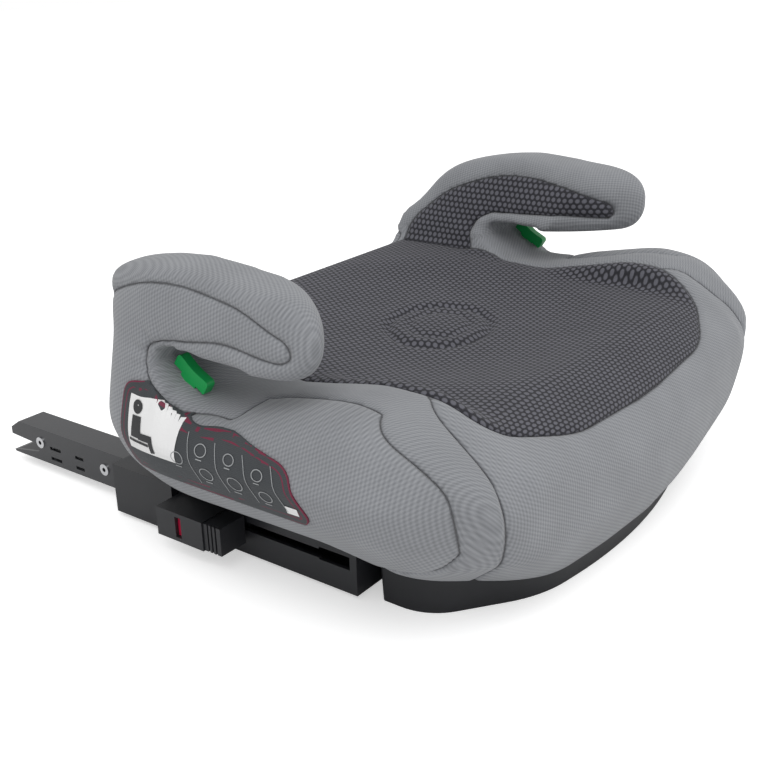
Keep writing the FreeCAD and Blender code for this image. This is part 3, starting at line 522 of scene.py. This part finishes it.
def cut_along(bm: bmesh.types.BMesh, level: Callable[[np.ndarray], np.ndarray], snap: float = 0.28) -> None:
    """Lays a line of edges where a function of place is zero.

    Args:
        bm: The mesh.
        level: Gives one value for each row of millimetre places.
        snap: How near its end an edge's crossing moves the vertex there instead.
    """
    def values() -> np.ndarray:
        """The function at every vertex."""
        bm.verts.index_update()
        return level(np.array([vert.co[:] for vert in bm.verts]) / MM)

    at = values()
    moves: dict[int, tuple[float, Vector]] = {}
    for edge in bm.edges:
        first, second = edge.verts
        a, b = at[first.index], at[second.index]
        if a * b < 0.0:
            t = a / (a - b)
            crossing = first.co.lerp(second.co, float(t))
            for vert, share in ((first, t), (second, 1.0 - t)):
                if share < snap and share < moves.get(vert.index, (1.0, None))[0]:
                    moves[vert.index] = (float(share), crossing)
    bm.verts.ensure_lookup_table()
    on_line = set(moves)
    for index, (_, place) in moves.items():
        bm.verts[index].co = place
    seam = {bm.verts[index] for index in on_line}
    crossing_edges = []
    for edge in bm.edges:
        first, second = edge.verts
        if first.index in on_line or second.index in on_line:
            continue
        a, b = at[first.index], at[second.index]
        if a * b < 0.0:
            crossing_edges.append((edge, first, float(a / (a - b))))
    for edge, vert, share in crossing_edges:
        seam.add(bmesh.utils.edge_split(edge, vert, share)[1])
    bmesh.ops.connect_verts(bm, verts=list(seam))


@dataclass
class Upholstery:
    """The cover's panels, cut from one body and sewn back together."""

    cover: Cover = field(default_factory=Cover)
    sewing: Sewing = field(default_factory=Sewing)
    pieces: dict[str, bpy.types.Object] = field(default_factory=dict)

    def panel_name(self, panel: Panel, x: float) -> str:
        """A panel's node name.

        Args:
            panel: Which panel.
            x: X of a point on it.

        Returns:
            The name, with its side where the panel comes in pairs.
        """
        if panel in (Panel.SEAT, Panel.FRONT, Panel.REAR):
            return panel.value
        return f"{panel.value}_{(Side.RIGHT if x < 0 else Side.LEFT).word}"

    def sort_faces(self, bm: bmesh.types.BMesh) -> list[Panel]:
        """Says which panel each face belongs to.

        Args:
            bm: The cut body.

        Returns:
            One panel per face, in order.
        """
        centres = np.array([face.calc_center_median()[:] for face in bm.faces]) / MM
        fields = self.sewing.fields(centres)
        kinds = [Panel.GUSSET] * len(centres)
        for panel in (Panel.REAR, Panel.FRONT, Panel.SIDE, Panel.ARM, Panel.SEAT):
            for index in np.flatnonzero(fields[panel] > 0.0):
                kinds[index] = panel
        return self.without_specks(bm, kinds)

    def without_specks(self, bm: bmesh.types.BMesh, kinds: list[Panel]) -> list[Panel]:
        """Gives scraps of a panel that aren't joined to the rest of it to their neighbour.

        Args:
            bm: The cut body.
            kinds: One panel per face.

        Returns:
            The panels with the scraps handed over.
        """
        bm.faces.index_update()
        seen: set[int] = set()
        for start in bm.faces:
            if start.index in seen:
                continue
            kind = kinds[start.index]
            island, stack, beside = [], [start], []
            seen.add(start.index)
            while stack:
                face = stack.pop()
                island.append(face.index)
                for edge in face.edges:
                    for other in edge.link_faces:
                        if kinds[other.index] is not kind:
                            beside.append(kinds[other.index])
                        elif other.index not in seen:
                            seen.add(other.index)
                            stack.append(other)
            if len(island) < 400 and beside:
                for index in island:
                    kinds[index] = max(set(beside), key=beside.count)
        return kinds

    def build(self) -> None:
        """Cuts the body into its panels and shapes the seams between them."""
        body = self.cover.body()
        bm = bmesh.new()
        bm.from_mesh(body.data)
        bpy.data.objects.remove(body)
        hem = lambda points: points[:, 2] - self.sewing.hem_height(points, self.cover)
        cut_along(bm, hem)
        for panel in (Panel.SEAT, Panel.ARM, Panel.SIDE, Panel.FRONT, Panel.REAR):
            cut_along(bm, lambda points, panel=panel: self.sewing.fields(points)[panel])
        centres = np.array([face.calc_center_median()[:] for face in bm.faces]) / MM
        under = hem(centres) < 0.0
        bmesh.ops.delete(bm, geom=[face for face, low in zip(bm.faces, under) if low], context="FACES")
        kinds = self.sort_faces(bm)
        bm.verts.index_update()
        names = [self.panel_name(kind, face.calc_center_median().x) for kind, face in zip(kinds, bm.faces)]
        bm.faces.index_update()
        seam = {vert.index for edge in bm.edges for vert in edge.verts
                if len({names[face.index] for face in edge.link_faces}) > 1
                and not {names[face.index].split("_")[0] for face in edge.link_faces} == {"gusset"}}
        edge_line = {vert.index for edge in bm.edges if len(edge.link_faces) == 1 for vert in edge.verts}
        bm.normal_update()
        places = np.array([vert.co[:] for vert in bm.verts]) / MM
        normals = np.array([vert.normal[:] for vert in bm.verts])
        to_seam = nearest(places, places[sorted(seam)])
        to_hem = nearest(places, places[sorted(edge_line)])
        moved = places + normals * self.relief(places, to_seam, to_hem)[:, None]
        for vert, place in zip(bm.verts, moved):
            vert.co = Vector(place) * MM
        distance = bm.verts.layers.float.new("seam")
        hem_layer = bm.verts.layers.float.new("hem")
        for vert, gap, edge_gap in zip(bm.verts, to_seam, to_hem):
            vert[distance] = float(gap)
            vert[hem_layer] = float(edge_gap)
        for name in sorted(set(names)):
            part = bm.copy()
            part.faces.ensure_lookup_table()
            spare = [face for face, label in zip(part.faces, names) if label != name]
            bmesh.ops.delete(part, geom=spare, context="FACES")
            piece = new_object(f"sewn_{name}", part)
            smooth_shade(piece)
            self.pieces[name] = piece
        bm.free()

    def relief(self, places: np.ndarray, to_seam: np.ndarray, to_hem: np.ndarray) -> np.ndarray:
        """How far the cloth stands out from the smooth body.

        Args:
            places: The vertices in millimetres.
            to_seam: Their distance to the nearest seam.
            to_hem: Their distance to the hem.

        Returns:
            The height over the body in millimetres.
        """
        sewing = self.sewing
        x, y, z = places.T
        out = np.abs(x)
        near = np.minimum(to_seam, to_hem + 1.2)
        height = sewing.swell * (1.0 - np.exp(-near / sewing.swell_reach)) - 0.6
        height -= sewing.groove * np.exp(-(to_seam / sewing.groove_width) ** 2)
        height -= 0.8 * np.exp(-(to_hem / 3.0) ** 2)
        bend = np.hypot(y - 2.0, z - 140.0)
        around = np.arctan2(z - 140.0, y - 2.0)
        pulled = np.exp(-((bend - 18.0) / 11.0) ** 2) * smooth_step(165.0, 185.0, out) * (to_seam > 0.5)
        height += 0.75 * pulled * np.sin(around * 11.0 + 0.6 * np.sin(3.0 * around))
        height -= 2.2 * np.exp(-((bend - 10.0) / 14.0) ** 2) * smooth_step(170.0, 190.0, out)
        inside = smooth_step(185.0, 160.0, out) * (z > 112.0) * (out > 120.0)
        height += 0.6 * np.exp(-((bend - 24.0) / 12.0) ** 2) * inside * np.sin(around * 9.0 + 1.0)
        ring = np.hypot((x + 2.0) / 40.0, (y + 46.0) / 31.0)
        on_seat = (z > 90.0) & (out < 90.0)
        height += on_seat * (-3.0 * np.exp(-((ring - 1.0) / 0.1) ** 2) + 1.6 * (ring < 1.0) * (1.0 - ring ** 2))
        height += on_seat * -1.7 * np.exp(-((ring - 0.6) / 0.09) ** 2)
        height += 0.5 * np.sin(x / 61.0 + 1.3 * np.sin(y / 83.0)) * np.sin(z / 37.0 + y / 91.0) * smooth_step(4.0, 20.0, near)
        return height


def nearest(places: np.ndarray, marks: np.ndarray) -> np.ndarray:
    """The distance from each place to the nearest mark.

    Args:
        places: Places in millimetres.
        marks: The marks.

    Returns:
        One distance per place.
    """
    tree = KDTree(len(marks))
    for index, mark in enumerate(marks):
        tree.insert(Vector(mark), index)
    tree.balance()
    return np.array([tree.find(Vector(place))[2] for place in places])


# ---- finishes --------------------------------------------------------------------------------

def add(tree: bpy.types.NodeTree, kind: str, settings: dict | None = None, **links) -> bpy.types.Node:
    """Adds a node, sets it and links its inputs.

    Args:
        tree: The material's nodes.
        kind: The node's type name without its ShaderNode prefix.
        settings: Properties, or inputs by name or number, with their values.
        links: Input names, spaces written as underscores or numbers after an "i", with the sockets to join.

    Returns:
        The node.
    """
    node = tree.nodes.new(f"ShaderNode{kind}")
    for key, value in (settings or {}).items():
        if isinstance(key, str) and hasattr(node, key):
            setattr(node, key, value)
        else:
            node.inputs[key].default_value = value
    for key, socket in links.items():
        name = int(key[1:]) if key[0] == "i" and key[1:].isdigit() else key.replace("_", " ")
        tree.links.new(socket, node.inputs[name])
    return node


@dataclass(frozen=True)
class Finish:
    """A surface's own colour and gloss, with a fine noise in both."""

    name: str
    slot: str
    colour: str
    second: str
    roughness: float
    metallic: float = 0.0
    grain_mm: float = 0.8
    bump: float = 0.12
    coat: float = 0.0
    stretch: tuple[float, float, float] = (1.0, 1.0, 1.0)

    def shader(self) -> tuple[bpy.types.Material, bpy.types.NodeTree, bpy.types.Node]:
        """Makes the material and sets its plain values.

        Returns:
            The material, its nodes and its shader.
        """
        material = bpy.data.materials.new(self.name)
        material.use_nodes = True
        tree = material.node_tree
        shader = tree.nodes["Principled BSDF"]
        shader.inputs["Metallic"].default_value = self.metallic
        shader.inputs["Roughness"].default_value = self.roughness
        shader.inputs["Coat Weight"].default_value = self.coat
        return material, tree, shader

    def material(self) -> bpy.types.Material:
        """Builds the finish."""
        material, tree, shader = self.shader()
        place = add(tree, "TexCoord").outputs["Object"]
        turned = add(tree, "Mapping", {"Scale": tuple(k / (self.grain_mm * MM) for k in self.stretch)}, Vector=place)
        grain = add(tree, "TexNoise", {"Scale": 1.0, "Detail": 4.0, "Roughness": 0.6}, Vector=turned.outputs[0])
        broad = add(tree, "TexNoise", {"Scale": 28.0, "Detail": 3.0}, Vector=place)
        blend = add(tree, "Math", {"operation": "MULTIPLY_ADD", 1: 0.45, 2: 0.0}, i0=grain.outputs["Fac"])
        share = add(tree, "Math", {"operation": "MULTIPLY_ADD", 1: 0.75}, i0=broad.outputs["Fac"], i2=blend.outputs[0])
        tint = add(tree, "Mix", {"data_type": "RGBA", "A": linear(self.colour), "B": linear(self.second)}, Factor=share.outputs[0])
        tint.inputs[6].default_value = linear(self.colour)
        tint.inputs[7].default_value = linear(self.second)
        gloss = add(tree, "MapRange", {"To Min": self.roughness - 0.07, "To Max": self.roughness + 0.08},
                    Value=broad.outputs["Fac"])
        relief = add(tree, "Bump", {"Strength": self.bump, "Distance": 0.0004}, Height=grain.outputs["Fac"])
        tree.links.new(tint.outputs[2], shader.inputs["Base Color"])
        tree.links.new(gloss.outputs[0], shader.inputs["Roughness"])
        tree.links.new(relief.outputs[0], shader.inputs["Normal"])
        return material


@dataclass(frozen=True)
class Cloth(Finish):
    """Cloth whose ribs or holes follow the piece's own "weave" attribute, in millimetres, with painted shade in the
    weave's low parts and along its seams.
    """

    pitch_mm: float = 1.7
    holes: bool = False
    sheen: float = 0.2
    # The colour that the seam grooves darken towards: painted shade.
    seam: str = "#4a4b4f"

    def material(self) -> bpy.types.Material:
        """Builds the finish."""
        material, tree, shader = self.shader()
        shader.inputs["Sheen Weight"].default_value = self.sheen
        shader.inputs["Sheen Roughness"].default_value = 0.5
        shader.inputs["Specular IOR Level"].default_value = 0.25
        weave = add(tree, "Attribute", {"attribute_name": "weave"}).outputs["Vector"]
        turn = 2 * math.pi / self.pitch_mm
        if self.holes:
            waves = [self.wave(tree, weave, (turn * math.cos(angle), turn * math.sin(angle), 0.0))
                     for angle in (math.radians(30), math.radians(90), math.radians(150))]
        else:
            waves = [self.wave(tree, weave, (turn, turn * 0.06, 0.0)), self.wave(tree, weave, (turn * 0.5, turn * 0.9, 0.0))]
        height = waves[0]
        for other in waves[1:]:
            height = add(tree, "Math", {"operation": "ADD"}, i0=height, i1=other).outputs[0]
        low, high = (-0.9, 0.7) if self.holes else (-2.0, 2.0)
        height = add(tree, "MapRange", {"From Min": low, "From Max": high}, Value=height).outputs[0]
        yarn = add(tree, "TexNoise", {"Scale": 1.6, "Detail": 3.0}, Vector=weave)
        broad = add(tree, "TexNoise", {"Scale": 0.03, "Detail": 3.0}, Vector=weave)
        rough = add(tree, "Math", {"operation": "MULTIPLY_ADD", 1: 0.5, 2: -0.25}, i0=yarn.outputs["Fac"])
        share = add(tree, "Math", {"operation": "ADD", "use_clamp": True}, i0=height, i1=rough.outputs[0])
        # Painted shade: the weave's low parts, the rib valleys and the mesh holes, take the second, darker colour,
        # mixed with the yarn's own random tone.
        tint = add(tree, "Mix", {"data_type": "RGBA"}, Factor=share.outputs[0])
        tint.inputs[6].default_value = linear(self.second)
        tint.inputs[7].default_value = linear(self.colour)
        worn = add(tree, "HueSaturation", {"Saturation": 1.0}, Color=tint.outputs[2])
        level = add(tree, "MapRange", {"From Min": 0.3, "From Max": 0.7, "To Min": 0.94, "To Max": 1.06}, Value=broad.outputs["Fac"])
        tree.links.new(level.outputs[0], worn.inputs["Value"])
        # Painted shade: within about a millimetre of each seam, where the sewn groove lies, the colour darkens towards
        # the seam colour.
        gap = add(tree, "Attribute", {"attribute_name": "seam"}).outputs["Fac"]
        line = add(tree, "MapRange", {"From Min": 0.2, "From Max": 1.1, "To Min": 0.75, "To Max": 0.0}, Value=gap)
        sewn = add(tree, "Mix", {"data_type": "RGBA"}, Factor=line.outputs[0])
        sewn.inputs[7].default_value = linear(self.seam)
        tree.links.new(worn.outputs[0], sewn.inputs[6])
        relief = add(tree, "Bump", {"Strength": self.bump, "Distance": 0.0006}, Height=share.outputs[0])
        tree.links.new(sewn.outputs[2], shader.inputs["Base Color"])
        tree.links.new(relief.outputs[0], shader.inputs["Normal"])
        return material

    def wave(self, tree: bpy.types.NodeTree, place: bpy.types.NodeSocket, along: tuple[float, float, float]) -> bpy.types.NodeSocket:
        """A cosine that runs along a direction of the weave.

        Args:
            tree: The material's nodes.
            place: The weave's coordinates.
            along: The direction, as long as the turn for each millimetre.

        Returns:
            The wave's socket.
        """
        run = add(tree, "VectorMath", {"operation": "DOT_PRODUCT", 1: along}, i0=place)
        return add(tree, "Math", {"operation": "COSINE"}, i0=run.outputs["Value"]).outputs[0]


# Ribbed knit of melange polyester: matt, with a fine rib and a soft bloom at grazing angles. The rib is
# drawn at 2.2 mm, coarser than the real 1 mm, so that it shows.
# Its second, darker colour is painted shade in the rib valleys.
KNIT = Cloth("melange_ribbed_knit", "cover_knit", "#96989c", "#7b7d81", 0.9, bump=0.35, pitch_mm=2.2)
# Warp-knitted spacer mesh: rows of round holes in a charcoal face. The holes' darker colour is painted shade for the
# gap of the spacer under them, and the seam colour is painted shade in the seam grooves.
MESH = Cloth("polyester_spacer_mesh", "spacer_mesh", "#63636b", "#2b2b30", 0.85, bump=0.8, pitch_mm=3.9, holes=True,
             sheen=0.12, seam="#3a3a3f")
# Printed satin label cloth: smooth, close weave.
LABEL = Cloth("printed_label_satin", "label_cloth", "#45484b", "#3e4144", 0.62, bump=0.15, pitch_mm=1.0, sheen=0.05,
              seam="#45484b")
# Talc-filled polypropylene, moulded on a fine spark grain: dull black with a soft highlight.
BLACK = Finish("moulded_black_polypropylene", "black_plastic", "#1f2023", "#292a2e", 0.42, grain_mm=0.7, bump=0.18)
SHELL = Finish("moulded_grey_polypropylene", "shell_plastic", "#34353a", "#3c3d42", 0.5, grain_mm=0.9)
FOAM = Finish("cut_polyurethane_foam", "foam", "#c9c8bf", "#b4b3a8", 0.95, grain_mm=1.4, bump=0.6)
# Pressed steel under a satin powder coat: an even black with a faint orange peel.
POWDER = Finish("powder_coated_steel", "black_steel", "#26272a", "#303135", 0.3, grain_mm=1.6, bump=0.1, coat=0.25)
# Zinc-plated steel: a bluish grey metal, slightly mottled.
ZINC = Finish("zinc_plated_steel", "bare_steel", "#c3c6ca", "#a9acb0", 0.34, metallic=1.0, grain_mm=1.1, bump=0.08)
RIVET = Finish("bright_nickel_rivet", "rivet_steel", "#e3e4e6", "#cfd0d3", 0.22, metallic=1.0, grain_mm=0.6, bump=0.06)
# Satin polyamide, dyed through.
GREEN = Finish("moulded_green_polyamide", "green_plastic", "#12b35c", "#0c9d4c", 0.36, grain_mm=0.9, bump=0.12)
RED = Finish("moulded_red_acetal", "red_plastic", "#d3204a", "#b9183f", 0.32, grain_mm=0.7, bump=0.08)
INK_WHITE = Finish("white_label_print", "label_cloth", "#f1f1f1", "#e6e6e6", 0.6, grain_mm=0.6, bump=0.1)
INK_GREY = Finish("grey_label_print", "label_cloth", "#a9abad", "#989a9c", 0.6, grain_mm=0.6, bump=0.1)
INK_DARK = Finish("dark_label_print", "label_cloth", "#2b2c2e", "#333436", 0.6, grain_mm=0.6, bump=0.1)
BORDER = Finish("maroon_label_border", "label_cloth", "#7a2440", "#6a1c36", 0.65, grain_mm=0.6, bump=0.15)
NODE_FINISHES = {
    "black_plastic": BLACK, "shell_plastic": SHELL, "black_steel": POWDER, "bare_steel": ZINC,
    "rivet_steel": RIVET, "green_plastic": GREEN, "red_plastic": RED, "foam": FOAM,
    "cover_knit": SHELL, "spacer_mesh": SHELL, "label_cloth": SHELL,
}


@dataclass
class Wardrobe:
    """Each finish's material, made once."""

    made: dict[str, bpy.types.Material] = field(default_factory=dict)

    def dress(self, obj: bpy.types.Object, finish: Finish) -> None:
        """Gives an object one finish.

        Args:
            obj: The object.
            finish: Its finish.
        """
        if finish.name not in self.made:
            self.made[finish.name] = finish.material()
        if obj.data.materials:
            for index in range(len(obj.data.materials)):
                obj.data.materials[index] = self.made[finish.name]
        else:
            obj.data.materials.append(self.made[finish.name])

    def dress_extra(self, obj: bpy.types.Object, finish: Finish) -> None:
        """Adds a second finish to an object.

        Args:
            obj: The object.
            finish: The added finish.
        """
        if finish.name not in self.made:
            self.made[finish.name] = finish.material()
        obj.data.materials.append(self.made[finish.name])

    def hardware(self) -> None:
        """Dresses every CAD node in its slot's finish."""
        for subpart in frame["record"]["subparts"]:
            node = frame["nodes"][subpart["node"]]
            self.dress(node, NODE_FINISHES[subpart["material_slot"]])


def lay_weave(obj: bpy.types.Object, name: str) -> None:
    """Stores the cloth's own coordinates, in millimetres, so that ribs and holes follow the panel.

    Args:
        obj: The panel.
        name: Its node name.
    """
    x, y, z = coordinates(obj.data).T
    if name == "seat_mesh":
        run, rise = x, y + np.minimum(0.0, z - 118.0) * smooth_step(-130.0, -165.0, y)
    elif name in ("front_panel", "rear_panel"):
        run, rise = x * 1.02, z
    elif name.startswith("gusset"):
        bend = np.abs(x) - 160.0
        run, rise = y - bend * 0.4, z + bend * np.sign(z - 140.0)
    else:
        run, rise = y, z
    weave = obj.data.attributes.new("weave", "FLOAT_VECTOR", "POINT")
    weave.data.foreach_set("vector", np.column_stack([run, rise, np.zeros_like(run)]).astype(np.float32).ravel())


# ---- the label ---------------------------------------------------------------------------------

@dataclass
class Label:
    """The dark sewn label on the child's right, with a double border and plain pictures."""

    outline: tuple[tuple[float, float, float], ...] = (
        (26.0, 78.0, 8.0), (31.0, 98.0, 40.0), (29.0, 129.0, 9.0), (8.0, 131.0, 14.0), (-22.0, 112.0, 26.0),
        (-58.0, 117.0, 26.0), (-96.0, 109.0, 14.0), (-110.0, 76.0, 6.0))
    proud: float = 1.1
    border: float = 1.1
    border_gap: float = 3.2

    def level(self, points: np.ndarray, inset: float = 0.0) -> np.ndarray:
        """How far points lie inside the label's edge.

        Args:
            points: Points in millimetres.
            inset: How far inside the edge the line runs.

        Returns:
            The distance to the line.
        """
        inside = margin(points[:, 1], points[:, 2], rounded_outline(list(self.outline))) - inset
        return np.where(points[:, 0] < -150.0, inside, -50.0)

    def build(self, panel: bpy.types.Object, wardrobe: Wardrobe) -> list[bpy.types.Object]:
        """Makes the label, its borders and its print on the side panel.

        Args:
            panel: The side panel under it.
            wardrobe: The finishes.

        Returns:
            The pieces.
        """
        bands = ((0.0, 0.7, BORDER), (0.7, 3.4, LABEL), (3.4, 4.2, BORDER), (4.2, 999.0, LABEL))
        bm = bmesh.new()
        bm.from_mesh(panel.data)
        for inset in (0.0, 0.7, 3.4, 4.2):
            cut_along(bm, lambda points, inset=inset: self.level(points, inset), snap=0.2)
        bm.normal_update()
        centres = np.array([face.calc_center_median()[:] for face in bm.faces]) / MM
        inside = self.level(centres)
        bmesh.ops.delete(bm, geom=[face for face, gap in zip(bm.faces, inside) if gap < 0.0], context="FACES")
        for vert in bm.verts:
            vert.co += vert.normal * self.proud * MM
        label = new_object("sewn_label", bm)
        smooth_shade(label)
        wardrobe.dress(label, LABEL)
        wardrobe.dress_extra(label, BORDER)
        centres = np.array([polygon.center[:] for polygon in label.data.polygons]) / MM
        gaps = self.level(centres)
        for polygon, gap in zip(label.data.polygons, gaps):
            polygon.material_index = int((0.0 <= gap < 0.7) or (3.4 <= gap < 4.2))
        solid = label.modifiers.new("cloth", "SOLIDIFY")
        solid.thickness = 1.0 * MM
        solid.offset = -1.0
        lay_weave(label, "label")
        tree = BVHTree.FromObject(label, bpy.context.evaluated_depsgraph_get())
        return [label] + self.pictures(tree, wardrobe)

    def lay(self, bm: bmesh.types.BMesh, tree: BVHTree, lift: float) -> None:
        """Drops a flat drawing onto the label from the side.

        Args:
            bm: The drawing, with Y and Z where they belong.
            tree: The label's surface.
            lift: How far the print stands over it.
        """
        for vert in bm.verts:
            hit = tree.ray_cast(Vector((-0.4, vert.co.y, vert.co.z)), Vector((1, 0, 0)))[0]
            vert.co.x = (hit.x if hit else -0.208) - lift * MM

    def shape(self, bm: bmesh.types.BMesh, points: Sequence[tuple[float, float]]) -> None:
        """Adds a filled flat shape, cut finely enough to follow the label.

        Args:
            bm: The drawing.
            points: The shape's outline (y, z) in millimetres.
        """
        face = bm.faces.new([bm.verts.new((0.0, y * MM, z * MM)) for y, z in points])
        bmesh.ops.triangulate(bm, faces=[face])

    def ring(self, bm: bmesh.types.BMesh, y: float, z: float, radius: float, line: float, squeeze: float = 1.0) -> None:
        """Adds a ring, or a disc where the line is as wide as the radius.

        Args:
            bm: The drawing.
            y: The centre's Y.
            z: The centre's Z.
            radius: The outer radius.
            line: The line's width.
            squeeze: The ring's height over its width.
        """
        disc = bmesh.ops.create_circle(bm, cap_ends=line >= radius, segments=28, radius=radius * MM)
        turn = Matrix.Translation((0, y * MM, z * MM)) @ Matrix.Rotation(math.radians(90), 4, "Y") @ Matrix.Diagonal((squeeze, 1, 1, 1))
        if line < radius:
            edges = list({edge for vert in disc["verts"] for edge in vert.link_edges})
            grown = bmesh.ops.extrude_edge_only(bm, edges=edges)
            inner = [item for item in grown["geom"] if isinstance(item, bmesh.types.BMVert)]
            bmesh.ops.scale(bm, vec=(1 - line / radius,) * 2 + (1,), verts=inner)
            bmesh.ops.transform(bm, matrix=turn, verts=disc["verts"] + inner)
        else:
            bmesh.ops.transform(bm, matrix=turn, verts=disc["verts"])

    def line(self, bm: bmesh.types.BMesh, start: tuple[float, float], end: tuple[float, float], width: float) -> None:
        """Adds a straight line in short lengths.

        Args:
            bm: The drawing.
            start: Its first end (y, z).
            end: Its last end (y, z).
            width: Its width.
        """
        first, last = Vector(start), Vector(end)
        across = (last - first).normalized().orthogonal() * width / 2
        lengths = max(1, int((last - first).length / 3.0))
        for piece in range(lengths):
            a = first.lerp(last, piece / lengths)
            b = first.lerp(last, (piece + 1) / lengths)
            self.shape(bm, [tuple(a + across), tuple(b + across), tuple(b - across), tuple(a - across)])

    def pictures(self, tree: BVHTree, wardrobe: Wardrobe) -> list[bpy.types.Object]:
        """Draws the white panel and plain outline pictures, without lettering.

        Args:
            tree: The label's surface.
            wardrobe: The finishes.

        Returns:
            The printed pieces.
        """
        white, grey, dark = bmesh.new(), bmesh.new(), bmesh.new()
        for column in range(13):
            for row in range(9):
                y, z = 22.0 - column * 3.0, 92.0 + row * 3.6
                top = 123.0 if column < 8 else 123.0 - (column - 7) * 1.5
                low, high = min(z, top), min(z + 3.6, top)
                if high > low:
                    self.shape(white, [(y, low), (y, high), (y - 3.0, high), (y - 3.0, low)])
        self.ring(dark, 14.0, 117.5, 3.6, 9.0, 1.1)
        self.shape(dark, [(17.5, 112.5), (10.5, 112.5), (9.5, 100.0), (18.5, 100.0)])
        self.line(dark, (12.0, 101.5), (1.0, 101.5), 4.2)
        self.line(dark, (2.5, 103.0), (0.5, 93.5), 3.4)
        self.line(dark, (20.5, 98.0), (3.5, 97.5), 1.6)
        for y in (-24.0, -45.0, -66.0, -86.0):
            self.line(grey, (y, 112.0 - 0.05 * abs(y)), (y - 9.0, 83.0), 0.45)
        for y, z, size in ((-36.0, 104.0, 4.4), (-40.0, 91.0, 5.0), (-57.0, 104.0, 4.0), (-61.0, 91.0, 5.4),
                           (-78.0, 101.0, 4.0), (-82.0, 89.0, 4.6), (-19.0, 96.0, 4.8)):
            self.ring(grey, y, z, size, 0.6, 0.8)
            self.line(grey, (y + size * 0.5, z - size * 1.1), (y - size * 0.5, z - size * 1.1), 0.6)
        self.line(white, (-94.0, 84.5), (-102.0, 84.5), 5.0)
        pieces = []
        for name, bm, finish, lift in (("label_print_white", white, INK_WHITE, 0.35), ("label_print_grey", grey, INK_GREY, 0.45),
                                       ("label_print_dark", dark, INK_DARK, 0.7)):
            bmesh.ops.subdivide_edges(bm, edges=[edge for edge in bm.edges if edge.calc_length() > 4.0 * MM], cuts=2)
            bmesh.ops.triangulate(bm, faces=bm.faces)
            self.lay(bm, tree, lift)
            bmesh.ops.remove_doubles(bm, verts=bm.verts, dist=1e-6)
            bm.normal_update()
            flip = [face for face in bm.faces if face.normal.x > 0]
            bmesh.ops.reverse_faces(bm, faces=flip)
            piece = new_object(name, bm)
            wardrobe.dress(piece, finish)
            pieces.append(piece)
        return pieces


# ---- studio ----------------------------------------------------------------------------------

@dataclass
class Studio:
    """A pale floor, soft light and a camera at a three-quarter angle."""

    azimuth: float = -52.78
    elevation: float = 21.35
    distance: float = 800.0
    focus_height: float = 65.6
    focus_px: float = 1125.0
    roll: float = -1.53
    shift: tuple[float, float] = (-0.0132, 0.0029)

    def camera(self) -> None:
        """Places the camera."""
        data = bpy.data.cameras.new("camera")
        camera = bpy.data.objects.new("camera", data)
        bpy.context.scene.collection.objects.link(camera)
        azimuth = math.radians(self.azimuth)
        elevation = math.radians(self.elevation)
        away = Vector((math.sin(azimuth) * math.cos(elevation), -math.cos(azimuth) * math.cos(elevation),
                       math.sin(elevation)))
        target = Vector((0, 0, self.focus_height * MM))
        camera.location = target + away * self.distance * MM
        look = (-away).to_track_quat("-Z", "Y").to_matrix().to_4x4()
        camera.matrix_world = Matrix.Translation(camera.location) @ look @ Matrix.Rotation(math.radians(self.roll), 4, "Z")
        data.sensor_width = 36.0
        data.lens = 36.0 * self.focus_px / 757.0
        data.shift_x, data.shift_y = self.shift
        bpy.context.scene.camera = camera

    def floor(self) -> None:
        """Lays the pale floor."""
        bm = bmesh.new()
        bmesh.ops.create_grid(bm, x_segments=1, y_segments=1, size=6.0)
        floor = new_object("floor", bm)
        material = bpy.data.materials.new("white_sweep")
        material.use_nodes = True
        tree = material.node_tree
        shader = tree.nodes["Principled BSDF"]
        shader.inputs["Base Color"].default_value = linear("#f4f4f4")
        shader.inputs["Roughness"].default_value = 0.8
        shader.inputs["Specular IOR Level"].default_value = 0.1
        seen = add(tree, "LightPath").outputs["Is Camera Ray"]
        glow = add(tree, "Math", {"operation": "MULTIPLY", 1: 0.5}, i0=seen)
        shader.inputs["Emission Color"].default_value = linear("#ffffff")
        tree.links.new(glow.outputs[0], shader.inputs["Emission Strength"])
        floor.data.materials.append(material)

    def light(self) -> None:
        """Sets the world and the lamps."""
        world = bpy.data.worlds.new("studio")
        bpy.context.scene.world = world
        world.use_nodes = True
        tree = world.node_tree
        sky = tree.nodes["Background"]
        sky.inputs["Color"].default_value = linear("#ffffff")
        seen = add(tree, "LightPath").outputs["Is Camera Ray"]
        level = add(tree, "MapRange", {"To Min": 0.62, "To Max": 1.0}, Value=seen)
        tree.links.new(level.outputs[0], sky.inputs["Strength"])
        for name, place, size, power in (("key", (-1.2, -0.9, 2.2), 1.6, 26.0), ("fill", (1.6, -1.6, 1.4), 1.8, 9.0)):
            data = bpy.data.lights.new(name, "AREA")
            data.energy = power
            data.size = size
            lamp = bpy.data.objects.new(name, data)
            bpy.context.scene.collection.objects.link(lamp)
            lamp.location = place
            lamp.rotation_euler = (-Vector(place)).to_track_quat("-Z", "Y").to_euler()

    def build(self) -> None:
        """Makes the whole studio."""
        self.floor()
        self.light()
        self.camera()
        bpy.context.scene.view_settings.view_transform = "Standard"


def main() -> None:
    """Builds every piece and reports it."""
    Studio().build()
    wardrobe = Wardrobe()
    wardrobe.hardware()
    covers = Upholstery()
    covers.build()
    foams = {"seat_mesh": ("seat_foam", "seat_shell"), "side_panel_right": ("side_foam_right",),
             "side_panel_left": ("side_foam_left",)}
    for name, piece in covers.pieces.items():
        meshy = name.startswith(("seat_mesh", "arm_mesh"))
        lay_weave(piece, name)
        wardrobe.dress(piece, MESH if meshy else KNIT)
        if name == "side_panel_right":
            for part in Label().build(piece, wardrobe):
                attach(part, "booster")
                if part.name == "sewn_label":
                    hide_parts("label_patch")
        solid = piece.modifiers.new("cloth", "SOLIDIFY")
        solid.thickness = covers.cover.thickness * MM
        solid.offset = -1.0
        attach(piece, "booster")
        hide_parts(name, *foams.get(name, ()))
        log.info("%s: %d faces", piece.name, len(piece.data.polygons))


if __name__ == "__main__":
    logging.basicConfig(level=logging.INFO)
    main()
